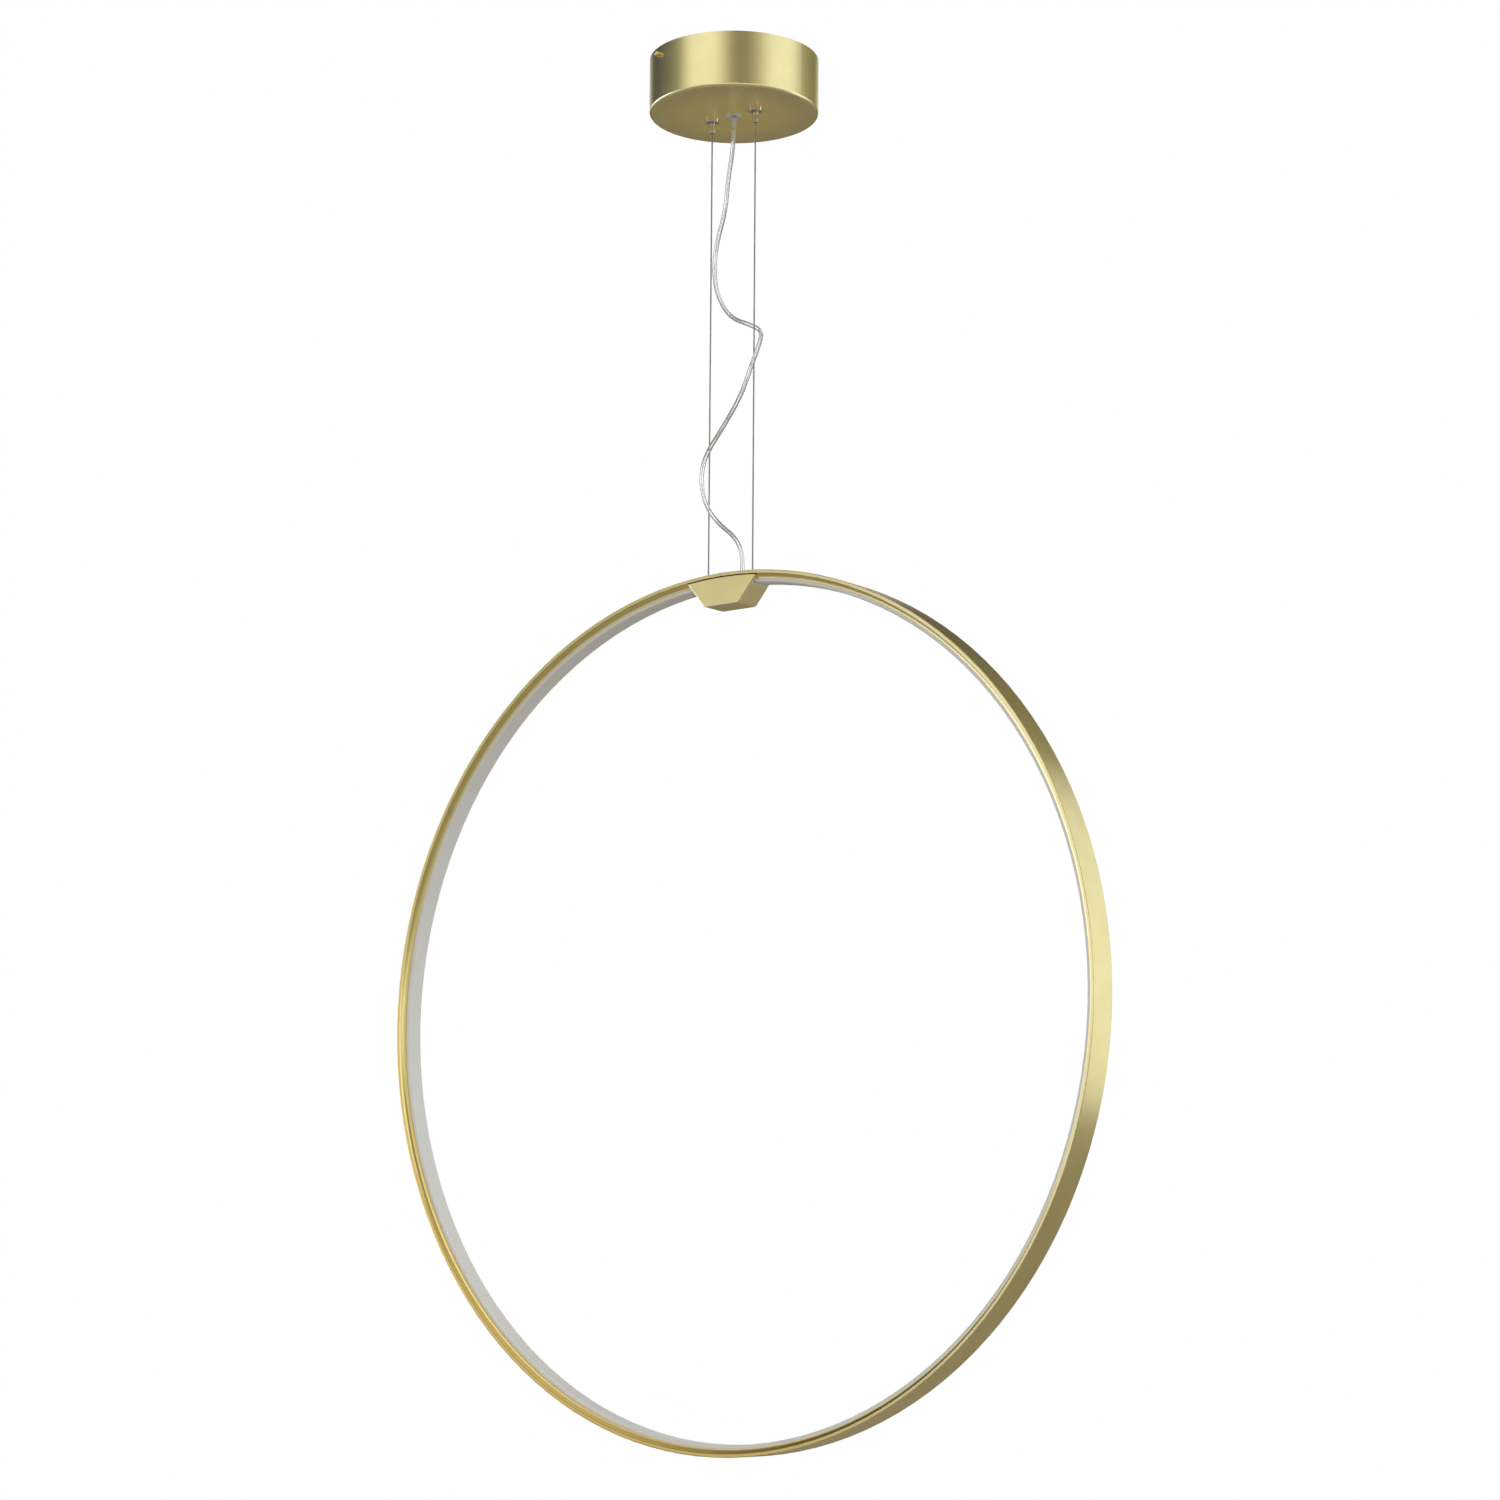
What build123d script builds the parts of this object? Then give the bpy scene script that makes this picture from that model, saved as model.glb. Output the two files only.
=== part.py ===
from build123d import *
import os
from math import asin, degrees, pi, radians, sqrt, tan

os.makedirs("parts", exist_ok=True)

# A pendant light: a thin lit ring hung on two wires from a round ceiling canopy.
# Millimetres and degrees. The origin is on the ceiling above the canopy's centre, +Z is up,
# X runs along the plane of the ring and Y along its axis, with the front towards -Y.

# Canopy
CANOPY_DIAMETER = 160.0
CANOPY_HEIGHT = 53.0
CANOPY_WALL = 1.5
CANOPY_EDGE_RADIUS = 2.5

# Ceiling bracket, a strap with two turned-down tabs that carry the canopy
BRACKET_TURN = 67.0
BRACKET_WIDTH = 30.0
BRACKET_THICKNESS = 2.0
BRACKET_TAB_HEIGHT = 16.0
BRACKET_BEND_RADIUS = 2.0
CEILING_HOLE_DIAMETER = 5.5
CEILING_HOLE_CIRCLE = 100.0
SUPPLY_HOLE_DIAMETER = 18.0
EARTH_SCREW_ACROSS = 9.0
EARTH_SCREW_HEAD = 7.2

# Side screws of the canopy
SIDE_SCREW_DIAMETER = 4.0
SIDE_SCREW_DROP = 7.5
SIDE_SCREW_KNOB = 4.8
SIDE_SCREW_COLLAR_DIAMETER = 5.2
SIDE_SCREW_COLLAR = 0.8
SIDE_SCREW_REACH = 4.0

# Driver and terminal blocks inside the canopy
DRIVER_LENGTH = 92.0
DRIVER_WIDTH = 36.0
DRIVER_HEIGHT = 23.0
DRIVER_EDGE_RADIUS = 2.5
DRIVER_NUT_GAP = 4.0
PAD_THICKNESS = 1.0
PAD_MARGIN = 4.0
BLOCK_LENGTH = 26.0
BLOCK_WIDTH = 20.0
BLOCK_HEIGHT = 14.0
BLOCK_OFFSET_X = 10.0
BLOCK_OFFSET_Y = 27.0
BLOCK_POLES = 3
BLOCK_SCREW_WELL = 3.6
BLOCK_ENTRY_DEPTH = 4.0
BLOCK_ENTRY_DIAMETER = 3.4
BLOCK_EDGE_RADIUS = 0.5
SMALL_SCREW_DIAMETER = 3.0
SMALL_SCREW_HEAD = 5.5
SMALL_SCREW_HEAD_HEIGHT = 2.0
LEAD_DIAMETER = 4.4
LEAD_OVERHANG = 14.0

# Suspension
WIRE_SPACING = 52.0
WIRE_DIAMETER = 1.5
WIRE_TAIL_RISE = 9.0
WIRE_TAIL_LENGTH = 26.0
WIRE_TAIL_BEND = 6.0
HANG = 444.4

# Wire grippers, turned bodies with a tapered bore, balls and a release plunger
GRIPPER_FLANGE_DIAMETER = 13.0
GRIPPER_FLANGE_THICKNESS = 2.0
GRIPPER_NOSE_DIAMETER = 5.8
GRIPPER_NOSE_LENGTH = 4.0
GRIPPER_SHANK_DIAMETER = 9.6
GRIPPER_SHANK_LENGTH = 26.0
GRIPPER_CHAMBER_DIAMETER = 6.8
GRIPPER_THROAT_DIAMETER = 4.8
GRIPPER_SHOULDER = 4.0
GRIPPER_TAPER_START = 6.0
GRIPPER_TAPER_LENGTH = 8.0
GRIPPER_CAP = 2.0
NUT_ACROSS_FLATS = 14.0
NUT_HEIGHT = 4.0
PLUNGER_TIP_LENGTH = 4.2
PLUNGER_STEM_DIAMETER = 3.8
PLUNGER_NECK = 2.4
PLUNGER_COLLAR = 1.0
RELEASE_TRAVEL = 2.0
BALL_DIAMETER = 1.9
BALL_COUNT = 3
FOLLOWER_THICKNESS = 1.5
SPRING_WALL = 0.6

# Cable and its gland
CABLE_DIAMETER = 4.2
CABLE_BEND_RADIUS = 12.0
GLAND_FLANGE_DIAMETER = 14.3
GLAND_FLANGE_THICKNESS = 1.5
GLAND_RECESS_DIAMETER = 10.0
GLAND_RECESS_DEPTH = 0.9
GLAND_SHANK_DIAMETER = 9.6
GLAND_SHANK_LENGTH = 12.0

# Ring section: a channel that opens towards the ring's centre, with a band and a cove on each side
RING_DIAMETER = 800.0
RING_WIDTH = 29.0
RING_EDGE_RADIUS = 0.6
BAND_DEPTH = 3.0
BAND_LEAN = 0.5
COVE_RADIUS = 4.4
LIP_WIDTH = 0.5
LEDGE_WIDTH = 1.3
RING_WALL = 2.0
CHANNEL_DEPTH = 3.2
RING_SEAM = 0.3

# Diffuser and light strip
DIFFUSER_PROUD = 3.4
DIFFUSER_WALL = 1.3
DIFFUSER_LEG = 1.2
DIFFUSER_EDGE_RADIUS = 2.6
DIFFUSER_HIDDEN_END = 5.0
STRIP_WIDTH = 10.0
STRIP_THICKNESS = 0.4
STRIP_SPLICE_GAP = 2.0
CHIP_LENGTH = 2.8
CHIP_WIDTH = 3.5
CHIP_HEIGHT = 0.8
CHIP_STEP = 3.0

# Hub under the top of the ring
HUB_SHADOW_GAP = 0.5
HUB_TOP_WIDTH = 80.8
HUB_BOTTOM_WIDTH = 40.0
HUB_HEIGHT = 26.5
HUB_INSET = 0.5
HUB_WALL = 2.2
HUB_CORNER_RADIUS = 5.0
HUB_EDGE_RADIUS = 0.9
HUB_SHELF = 2.8
HUB_POST_GAP = 0.7
HUB_POST_DIAMETER = 5.6
COVER_THICKNESS = 2.0
COVER_BOSS_DIAMETER = 5.0
COVER_BOSS_MARGIN = 1.0
COVER_SCREW_DIAMETER = 2.5
COVER_SCREW_HEAD = 4.4
COVER_SCREW_LENGTH = 8.0

# Splice that bridges the seam inside the channel and takes the wire ends
SPLICE_SCREW_INNER = 6.0
SPLICE_SCREW_SPREAD = 10.0
SPLICE_END_MARGIN = 5.0
SPLICE_SCREW_DIAMETER = 3.0
SPLICE_SCREW_HEAD = 5.0
SPLICE_SCREW_LENGTH = 4.4
STOP_DIAMETER = 5.0
STOP_COLLAR_DIAMETER = 2.2
STOP_COLLAR_LENGTH = 1.0
STOP_SINK = 0.4
EYELET_BORE = 3.6
EYELET_DIAMETER = 5.0
EYELET_FLANGE_DIAMETER = 6.6
EYELET_FLANGE_THICKNESS = 0.6
GROMMET_DIAMETER = 7.0
GROMMET_FLANGE_DIAMETER = 9.0
GROMMET_FLANGE_THICKNESS = 1.0
CONNECTOR_WIDTH = 9.0
CONNECTOR_HEIGHT = 8.0
CONNECTOR_SLIT = 0.5
LED_LEAD_DIAMETER = 1.2
LED_LEAD_SHIFT = 4.2
LED_LEAD_STARTS = (-8.0, 3.0)
LED_LEAD_DEPTH = 7.2
LED_LEAD_BEND = 4.0

# Clearances
FIT = 0.1
SLIDE = 0.15
LOOSE = 0.2
BREAK = 0.3

# Worked-out places
CANOPY_RADIUS = CANOPY_DIAMETER / 2
CANOPY_BOTTOM = -CANOPY_HEIGHT
CANOPY_FLOOR = CANOPY_BOTTOM + CANOPY_WALL
RING_RADIUS = RING_DIAMETER / 2
RING_CENTRE = CANOPY_BOTTOM - HANG - RING_RADIUS
NOSE_END = GRIPPER_FLANGE_THICKNESS + GRIPPER_NOSE_LENGTH
TIP_START = NOSE_END + PLUNGER_NECK
TIP_END = TIP_START + PLUNGER_TIP_LENGTH
PIVOT_HEIGHT = CANOPY_BOTTOM - TIP_END
WIRE_X = WIRE_SPACING / 2
WIRE_BORE = WIRE_DIAMETER + 2 * LOOSE
LEDGE_DEPTH = RING_WALL + CHANNEL_DEPTH
METAL_DEPTH = BAND_DEPTH + COVE_RADIUS
RING_TOTAL_DEPTH = METAL_DEPTH + DIFFUSER_PROUD
STOP_DEPTH = LEDGE_DEPTH + STOP_SINK
STOP_RADIUS = RING_RADIUS - STOP_DEPTH
STOP_TURN = degrees(asin(WIRE_X / STOP_RADIUS))
STOP_HEIGHT = sqrt(STOP_RADIUS ** 2 - WIRE_X ** 2)
BAND_HALF = RING_WIDTH / 2 - BAND_LEAN
LIP_HALF = BAND_HALF - COVE_RADIUS
MOUTH_HALF = LIP_HALF - LIP_WIDTH
CHANNEL_HALF = MOUTH_HALF - LEDGE_WIDTH
DIFFUSER_HALF = MOUTH_HALF - SLIDE
HUB_DEPTH = 2 * (BAND_HALF - HUB_INSET)
HUB_TOP_RADIUS = RING_RADIUS - BAND_DEPTH - HUB_SHADOW_GAP
HUB_SHOULDER = sqrt(HUB_TOP_RADIUS ** 2 - (HUB_TOP_WIDTH / 2) ** 2)
HUB_BOTTOM = HUB_TOP_RADIUS - HUB_HEIGHT
POCKET_RADIUS = RING_RADIUS - RING_TOTAL_DEPTH - LOOSE
CAVITY_TOP = POCKET_RADIUS - HUB_SHELF
CAVITY_FLOOR = HUB_BOTTOM + HUB_WALL
SPLICE_TOP = RING_RADIUS - RING_WALL - FIT
SPLICE_BOTTOM = RING_RADIUS - LEDGE_DEPTH + FIT
SPLICE_SCREW_OUTER = WIRE_X + SPLICE_SCREW_SPREAD
SPLICE_HALF = SPLICE_SCREW_OUTER + SPLICE_END_MARGIN
STRIP_END = SPLICE_HALF + STRIP_SPLICE_GAP
STRIP_SEAT = RING_RADIUS - RING_WALL - BREAK
HUB_SLOPE = (HUB_TOP_WIDTH - HUB_BOTTOM_WIDTH) / 2 / (HUB_SHOULDER - HUB_BOTTOM)
HUB_SCREW_OFFSET = WIRE_X - (STOP_DIAMETER + HUB_POST_DIAMETER) / 2 - HUB_POST_GAP
CABLE_HOLE = CABLE_DIAMETER + 4 * LOOSE
CABLE_OFFSET = HUB_SCREW_OFFSET - (HUB_POST_DIAMETER + CABLE_HOLE) / 2 - HUB_POST_GAP
DRIVER_Y = NUT_ACROSS_FLATS / sqrt(3) + DRIVER_NUT_GAP + DRIVER_WIDTH / 2
BLOCK_TOP = -BRACKET_THICKNESS
BLOCK_MIDDLE = BLOCK_TOP - BLOCK_HEIGHT / 2
TAB_REACH = sqrt((CANOPY_RADIUS - CANOPY_WALL - BREAK) ** 2 - (BRACKET_WIDTH / 2) ** 2)

# Route of the hanging cable, chosen by hand from the gripper tips' height down to the ring
CABLE_ROUTE = [
    (0.0, 0.0, -66.2), (0.0, 0.0, -84.0), (-6.0, 1.0, -112.0), (-11.5, 2.0, -145.0),
    (-22.5, 2.5, -174.0), (-26.0, 3.5, -202.0), (-21.5, 5.0, -226.0), (-8.0, 7.0, -248.0),
    (14.0, 9.0, -258.0), (30.5, 7.5, -266.5), (35.0, -5.5, -283.0), (28.5, -9.5, -303.0),
    (14.0, -9.5, -329.0), (-5.0, -9.0, -356.0), (-21.0, -8.5, -377.0), (-29.0, -8.5, -395.0),
    (-28.5, -8.5, -415.0), (-20.0, -8.0, -434.0), (-5.0, -6.0, -449.5), (8.5, -3.0, -463.5),
    (14.0, -0.5, -479.5), (14.0, 0.0, -496.4),
]

# Share of the shorter run that each bend of a cord takes up
BEND_SHARE = 0.45

BOTTOM = (Align.CENTER, Align.CENTER, Align.MIN)
TOP = (Align.CENTER, Align.CENTER, Align.MAX)
ALONG_Y = Rot(-90, 0, 0)


def turned(*points):
    """A turned piece from its half section, given as (radius, height) points."""
    return revolve(make_face(Plane.XZ * Polyline(*points, close=True)), Axis.Z)


def rod(diameter, length):
    """A round bar that stands on its origin."""
    return Cylinder(diameter / 2, length, align=BOTTOM)


def hex_nut(across_flats, height, hole):
    blank = extrude(RegularPolygon(across_flats / 2, 6, major_radius=False), height)
    return blank - rod(hole, height)


def countersunk_screw(diameter, head, length):
    """A flush screw whose head lies at its origin and whose shank points down."""
    cone = (head - diameter) / 2
    return turned((0, 0), (head / 2, 0), (diameter / 2, -cone), (diameter / 2, -length), (0, -length))


def pan_screw(diameter, head, head_height, length):
    """A screw whose head seats at its origin, below a shank that points up."""
    crown = head / 2 - head_height / 3
    return turned((0, -head_height), (crown, -head_height), (head / 2, -head_height / 2), (head / 2, 0),
                  (diameter / 2, 0), (diameter / 2, length), (0, length))


def round_cord(points, radii, diameter):
    """A tube along straight runs joined by tangent arcs."""
    path = FilletPolyline(*points, radius=radii)
    return sweep(Plane(path @ 0, z_dir=path % 0) * Circle(diameter / 2), path)


def on_wire(side, piece):
    """A piece on one wire's axis, moved from the canopy's underside."""
    return Pos(side * WIRE_X, 0, CANOPY_BOTTOM) * piece


def on_wires(piece):
    """One such piece on each wire, as separate solids."""
    return Compound([on_wire(side, piece) for side in (-1, 1)])


def on_bracket(along, across=0.0, height=0.0):
    """A place on the ceiling bracket, along and across its strap."""
    return Rot(0, 0, BRACKET_TURN) * Pos(along, across, height)


def on_ring(turn, radius=0.0):
    """A place on the ring, turned from its top towards +X and moved out from its centre."""
    return Pos(0, 0, RING_CENTRE) * Rot(0, turn, 0) * Pos(0, 0, radius)


def ring_turn(offset, radius=RING_RADIUS):
    """The turn on the ring that lies at a sideways offset from its top."""
    return degrees(asin(offset / radius))


# Ceiling unit

def side_holes(diameter, reach, depth):
    """Two cutters across the bracket's tabs or the canopy's wall."""
    hole = Rot(0, 90, 0) * Cylinder(diameter / 2, depth)
    return [on_bracket(side * reach, 0, -SIDE_SCREW_DROP) * hole for side in (-1, 1)]


def ceiling_bracket():
    outside = Pos(0, -BRACKET_TAB_HEIGHT / 2) * Rectangle(2 * TAB_REACH, BRACKET_TAB_HEIGHT)
    inside_height = BRACKET_TAB_HEIGHT - BRACKET_THICKNESS
    inside = Rectangle(2 * (TAB_REACH - BRACKET_THICKNESS), inside_height)
    inside = Pos(0, -BRACKET_THICKNESS - inside_height / 2) * inside
    outside = fillet(outside.vertices().group_by(Axis.Y)[-1], BRACKET_BEND_RADIUS + BRACKET_THICKNESS)
    inside = fillet(inside.vertices().group_by(Axis.Y)[-1], BRACKET_BEND_RADIUS)
    strap = extrude(Plane.XZ * (outside - inside), BRACKET_WIDTH / 2, both=True)
    through = 3 * BRACKET_THICKNESS
    strap -= Cylinder(SUPPLY_HOLE_DIAMETER / 2, through)
    for side in (-1, 1):
        strap -= Pos(side * CEILING_HOLE_CIRCLE / 2, 0, 0) * Cylinder(CEILING_HOLE_DIAMETER / 2, through)
    strap = on_bracket(0) * strap
    strap -= earth_place() * Cylinder(SIDE_SCREW_DIAMETER / 2 + FIT, through)
    for place in block_places():
        strap -= place * Cylinder(SMALL_SCREW_DIAMETER / 2 + FIT, through)
    for hole in side_holes(SIDE_SCREW_DIAMETER + 2 * FIT, TAB_REACH, 4 * BRACKET_THICKNESS):
        strap -= hole
    return strap


def canopy():
    blank = Pos(0, 0, CANOPY_BOTTOM) * Cylinder(CANOPY_RADIUS, CANOPY_HEIGHT, align=BOTTOM)
    blank = fillet(blank.edges().group_by(Axis.Z)[0], CANOPY_EDGE_RADIUS)
    shell = offset(blank, -CANOPY_WALL, openings=blank.faces().sort_by(Axis.Z)[-1])
    floor = Pos(0, 0, CANOPY_BOTTOM)
    shell -= floor * Cylinder(GLAND_SHANK_DIAMETER / 2 + FIT, 4 * CANOPY_WALL)
    for side in (-1, 1):
        hole = Cylinder(GRIPPER_SHANK_DIAMETER / 2 + FIT, 4 * CANOPY_WALL)
        shell -= floor * Pos(side * WIRE_X, 0, 0) * hole
    for hole in side_holes(SIDE_SCREW_DIAMETER + 2 * FIT, CANOPY_RADIUS, 4 * CANOPY_WALL):
        shell -= hole
    return shell


def canopy_screws():
    """Two ball-headed screws through the canopy's side into the bracket's tabs."""
    ball = SIDE_SCREW_KNOB / 2
    core = SIDE_SCREW_DIAMETER / 2
    collar = SIDE_SCREW_COLLAR_DIAMETER / 2
    shank = CANOPY_RADIUS - TAB_REACH + BRACKET_THICKNESS + SIDE_SCREW_REACH
    screw = turned((0, -shank), (core, -shank), (core, 0), (collar, 0), (collar, SIDE_SCREW_COLLAR),
                   (0, SIDE_SCREW_COLLAR))
    screw += Pos(0, 0, ball) * Sphere(ball)
    seat = Pos(CANOPY_RADIUS, 0, -SIDE_SCREW_DROP) * Rot(0, 90, 0) * screw
    return Compound([Rot(0, 0, BRACKET_TURN + turn) * seat for turn in (0, 180)])


def led_driver():
    """A sealed driver on a foam pad, with a lead socket at each end."""
    case = Box(DRIVER_LENGTH, DRIVER_WIDTH, DRIVER_HEIGHT, align=BOTTOM)
    case = fillet(case.edges().filter_by(Axis.Z), DRIVER_EDGE_RADIUS)
    case = fillet(case.faces().sort_by(Axis.Z)[-1].edges(), DRIVER_EDGE_RADIUS / 2)
    case = Pos(0, DRIVER_Y, CANOPY_FLOOR + PAD_THICKNESS) * case
    for side in (-1, 1):
        socket = Rot(0, 90, 0) * Cylinder(LEAD_DIAMETER / 2 + FIT, 2 * BLOCK_ENTRY_DEPTH)
        case -= Pos(side * DRIVER_LENGTH / 2, BLOCK_OFFSET_Y, driver_lead_height()) * socket
    return case


def driver_lead_height():
    return CANOPY_FLOOR + PAD_THICKNESS + DRIVER_HEIGHT / 2


def driver_pad():
    pad = Box(DRIVER_LENGTH - 2 * PAD_MARGIN, DRIVER_WIDTH - 2 * PAD_MARGIN, PAD_THICKNESS, align=BOTTOM)
    return Pos(0, DRIVER_Y, CANOPY_FLOOR) * pad


def block_places():
    """Centres of the output block and the supply block, under the bracket."""
    return [Pos(side * BLOCK_OFFSET_X, side * BLOCK_OFFSET_Y, 0) for side in (1, -1)]


def pole_places():
    """Places of the poles along a terminal block."""
    return [(pole - (BLOCK_POLES - 1) / 2) * BLOCK_LENGTH / BLOCK_POLES for pole in range(BLOCK_POLES)]


def terminal_block():
    """A screw terminal block with its screw wells open below."""
    block = Pos(0, 0, BLOCK_TOP) * Box(BLOCK_LENGTH, BLOCK_WIDTH, BLOCK_HEIGHT, align=TOP)
    block = fillet(block.edges().filter_by(Axis.Z), BLOCK_EDGE_RADIUS)
    well_row = BLOCK_WIDTH / 2 - BLOCK_SCREW_WELL
    for x in pole_places():
        for side in (-1, 1):
            well = rod(BLOCK_SCREW_WELL, BLOCK_HEIGHT / 4)
            block -= Pos(x, side * well_row, BLOCK_TOP - BLOCK_HEIGHT) * well
    block -= Pos(0, 0, BLOCK_TOP) * Cylinder(SMALL_SCREW_DIAMETER / 2 + FIT, 3 * BLOCK_HEIGHT)
    return block


def output_block():
    """The block between the driver and the hanging cable."""
    block = block_places()[0] * terminal_block()
    entry = Rot(90, 0, 0) * Cylinder(CABLE_DIAMETER / 2 + FIT, 2 * BLOCK_ENTRY_DEPTH)
    block -= Pos(0, BLOCK_OFFSET_Y - BLOCK_WIDTH / 2, BLOCK_MIDDLE) * entry
    return block - lead_entry(1)


def supply_block():
    """The block that takes the house supply on its outer side and feeds the driver."""
    block = terminal_block()
    for x in pole_places():
        entry = Rot(90, 0, 0) * Cylinder(BLOCK_ENTRY_DIAMETER / 2, 2 * BLOCK_ENTRY_DEPTH)
        block -= Pos(x, -BLOCK_WIDTH / 2, BLOCK_MIDDLE) * entry
    return block_places()[1] * block - lead_entry(-1)


def lead_entry(side):
    entry = Rot(0, 90, 0) * Cylinder(LEAD_DIAMETER / 2 + FIT, 2 * BLOCK_ENTRY_DEPTH)
    return Pos(side * (BLOCK_OFFSET_X + BLOCK_LENGTH / 2), side * BLOCK_OFFSET_Y, BLOCK_MIDDLE) * entry


def block_screws():
    screw = pan_screw(SMALL_SCREW_DIAMETER, SMALL_SCREW_HEAD, SMALL_SCREW_HEAD_HEIGHT,
                      BLOCK_HEIGHT + BRACKET_THICKNESS)
    return Compound([place * Pos(0, 0, BLOCK_TOP - BLOCK_HEIGHT) * screw for place in block_places()])


def earth_place():
    return on_bracket(CEILING_HOLE_CIRCLE / 2, EARTH_SCREW_ACROSS)


def earth_screw():
    screw = pan_screw(SIDE_SCREW_DIAMETER, EARTH_SCREW_HEAD, SMALL_SCREW_HEAD_HEIGHT, BRACKET_THICKNESS)
    return earth_place() * Pos(0, 0, -BRACKET_THICKNESS) * screw


def lead_bend():
    """The bend that fits between the driver's sockets and the terminal blocks."""
    return BEND_SHARE * (BLOCK_MIDDLE - driver_lead_height())


def output_lead():
    """The driver's low-voltage lead, turned up from its right end back to the output block."""
    start = DRIVER_LENGTH / 2 - BLOCK_ENTRY_DEPTH + FIT
    far = DRIVER_LENGTH / 2 + LEAD_OVERHANG
    end = BLOCK_OFFSET_X + BLOCK_LENGTH / 2 - BLOCK_ENTRY_DEPTH + FIT
    points = [(start, BLOCK_OFFSET_Y, driver_lead_height()), (far, BLOCK_OFFSET_Y, driver_lead_height()),
              (far, BLOCK_OFFSET_Y, BLOCK_MIDDLE), (end, BLOCK_OFFSET_Y, BLOCK_MIDDLE)]
    return round_cord(points, lead_bend(), LEAD_DIAMETER)


def supply_lead():
    """The driver's mains lead, from its left end round to the supply block."""
    start = -DRIVER_LENGTH / 2 + BLOCK_ENTRY_DEPTH - FIT
    far = -DRIVER_LENGTH / 2 - LEAD_OVERHANG
    end = -BLOCK_OFFSET_X - BLOCK_LENGTH / 2 + BLOCK_ENTRY_DEPTH - FIT
    points = [(start, BLOCK_OFFSET_Y, driver_lead_height()), (far, BLOCK_OFFSET_Y, driver_lead_height()),
              (far, -BLOCK_OFFSET_Y, BLOCK_MIDDLE), (end, -BLOCK_OFFSET_Y, BLOCK_MIDDLE)]
    return round_cord(points, lead_bend(), LEAD_DIAMETER)


# Gland and grippers in the canopy's floor

def cable_gland():
    bore = CABLE_DIAMETER / 2 + LOOSE
    low = CANOPY_BOTTOM - GLAND_FLANGE_THICKNESS
    high = CANOPY_BOTTOM + GLAND_SHANK_LENGTH
    recess = low + GLAND_RECESS_DEPTH
    edge = GLAND_FLANGE_THICKNESS / 3
    return turned((GLAND_RECESS_DIAMETER / 2, low), (GLAND_FLANGE_DIAMETER / 2 - edge, low),
                  (GLAND_FLANGE_DIAMETER / 2, low + edge), (GLAND_FLANGE_DIAMETER / 2, CANOPY_BOTTOM),
                  (GLAND_SHANK_DIAMETER / 2, CANOPY_BOTTOM), (GLAND_SHANK_DIAMETER / 2, high),
                  (bore, high), (bore, recess), (GLAND_RECESS_DIAMETER / 2, recess))


def gland_nut():
    return Pos(0, 0, CANOPY_FLOOR) * hex_nut(NUT_ACROSS_FLATS, NUT_HEIGHT, GLAND_SHANK_DIAMETER + 2 * FIT)


def gripper():
    """A gripper body on its own axis, with the canopy's underside at its origin."""
    stem = PLUNGER_STEM_DIAMETER / 2 + FIT
    nose = GRIPPER_NOSE_DIAMETER / 2
    flange = GRIPPER_FLANGE_DIAMETER / 2
    shank = GRIPPER_SHANK_DIAMETER / 2
    throat = GRIPPER_THROAT_DIAMETER / 2
    chamber = GRIPPER_CHAMBER_DIAMETER / 2
    taper_end = GRIPPER_TAPER_START + GRIPPER_TAPER_LENGTH
    ceiling = GRIPPER_SHANK_LENGTH - GRIPPER_CAP
    edge = GRIPPER_FLANGE_THICKNESS / 4
    return turned((stem, -NOSE_END), (nose - edge, -NOSE_END), (nose, -NOSE_END + edge),
                  (nose, -GRIPPER_FLANGE_THICKNESS), (flange - edge, -GRIPPER_FLANGE_THICKNESS),
                  (flange, edge - GRIPPER_FLANGE_THICKNESS), (flange, 0), (shank, 0),
                  (shank, GRIPPER_SHANK_LENGTH), (WIRE_BORE / 2, GRIPPER_SHANK_LENGTH),
                  (WIRE_BORE / 2, ceiling), (chamber, ceiling), (chamber, taper_end),
                  (throat, GRIPPER_TAPER_START), (throat, GRIPPER_SHOULDER), (stem, GRIPPER_SHOULDER))


def release_plunger():
    """The sprung tip of a gripper, drilled for the wire and held in by a collar."""
    bore = WIRE_BORE / 2
    stem = PLUNGER_STEM_DIAMETER / 2
    tip = GRIPPER_NOSE_DIAMETER / 2
    collar = GRIPPER_THROAT_DIAMETER / 2 - SLIDE
    seat = GRIPPER_SHOULDER + FIT
    edge = PLUNGER_TIP_LENGTH / 8
    return turned((bore, -TIP_END), (tip - edge, -TIP_END), (tip, edge - TIP_END), (tip, -TIP_START - edge),
                  (tip - edge, -TIP_START), (stem, -TIP_START), (stem, seat), (collar, seat),
                  (collar, seat + PLUNGER_COLLAR), (bore, seat + PLUNGER_COLLAR))


def ball_height():
    """Height at which the balls touch both the wire and the taper."""
    slope = (GRIPPER_CHAMBER_DIAMETER - GRIPPER_THROAT_DIAMETER) / 2 / GRIPPER_TAPER_LENGTH
    reach = WIRE_DIAMETER / 2 + BALL_DIAMETER + FIT
    touch = GRIPPER_TAPER_START + (reach - GRIPPER_THROAT_DIAMETER / 2) / slope
    lifted = GRIPPER_SHOULDER + FIT + PLUNGER_COLLAR + RELEASE_TRAVEL + BALL_DIAMETER / 2 + LOOSE
    return max(touch, lifted)


def gripper_balls():
    orbit = (WIRE_DIAMETER + BALL_DIAMETER + FIT) / 2
    ball = Pos(orbit, 0, 0) * Sphere(BALL_DIAMETER / 2)
    balls = []
    for side in (-1, 1):
        for number in range(BALL_COUNT):
            turn = Rot(0, 0, number * 360 / BALL_COUNT)
            balls.append(on_wire(side, Pos(0, 0, ball_height()) * turn * ball))
    return Compound(balls)


def follower_bottom():
    return ball_height() + BALL_DIAMETER / 2 + FIT


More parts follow.
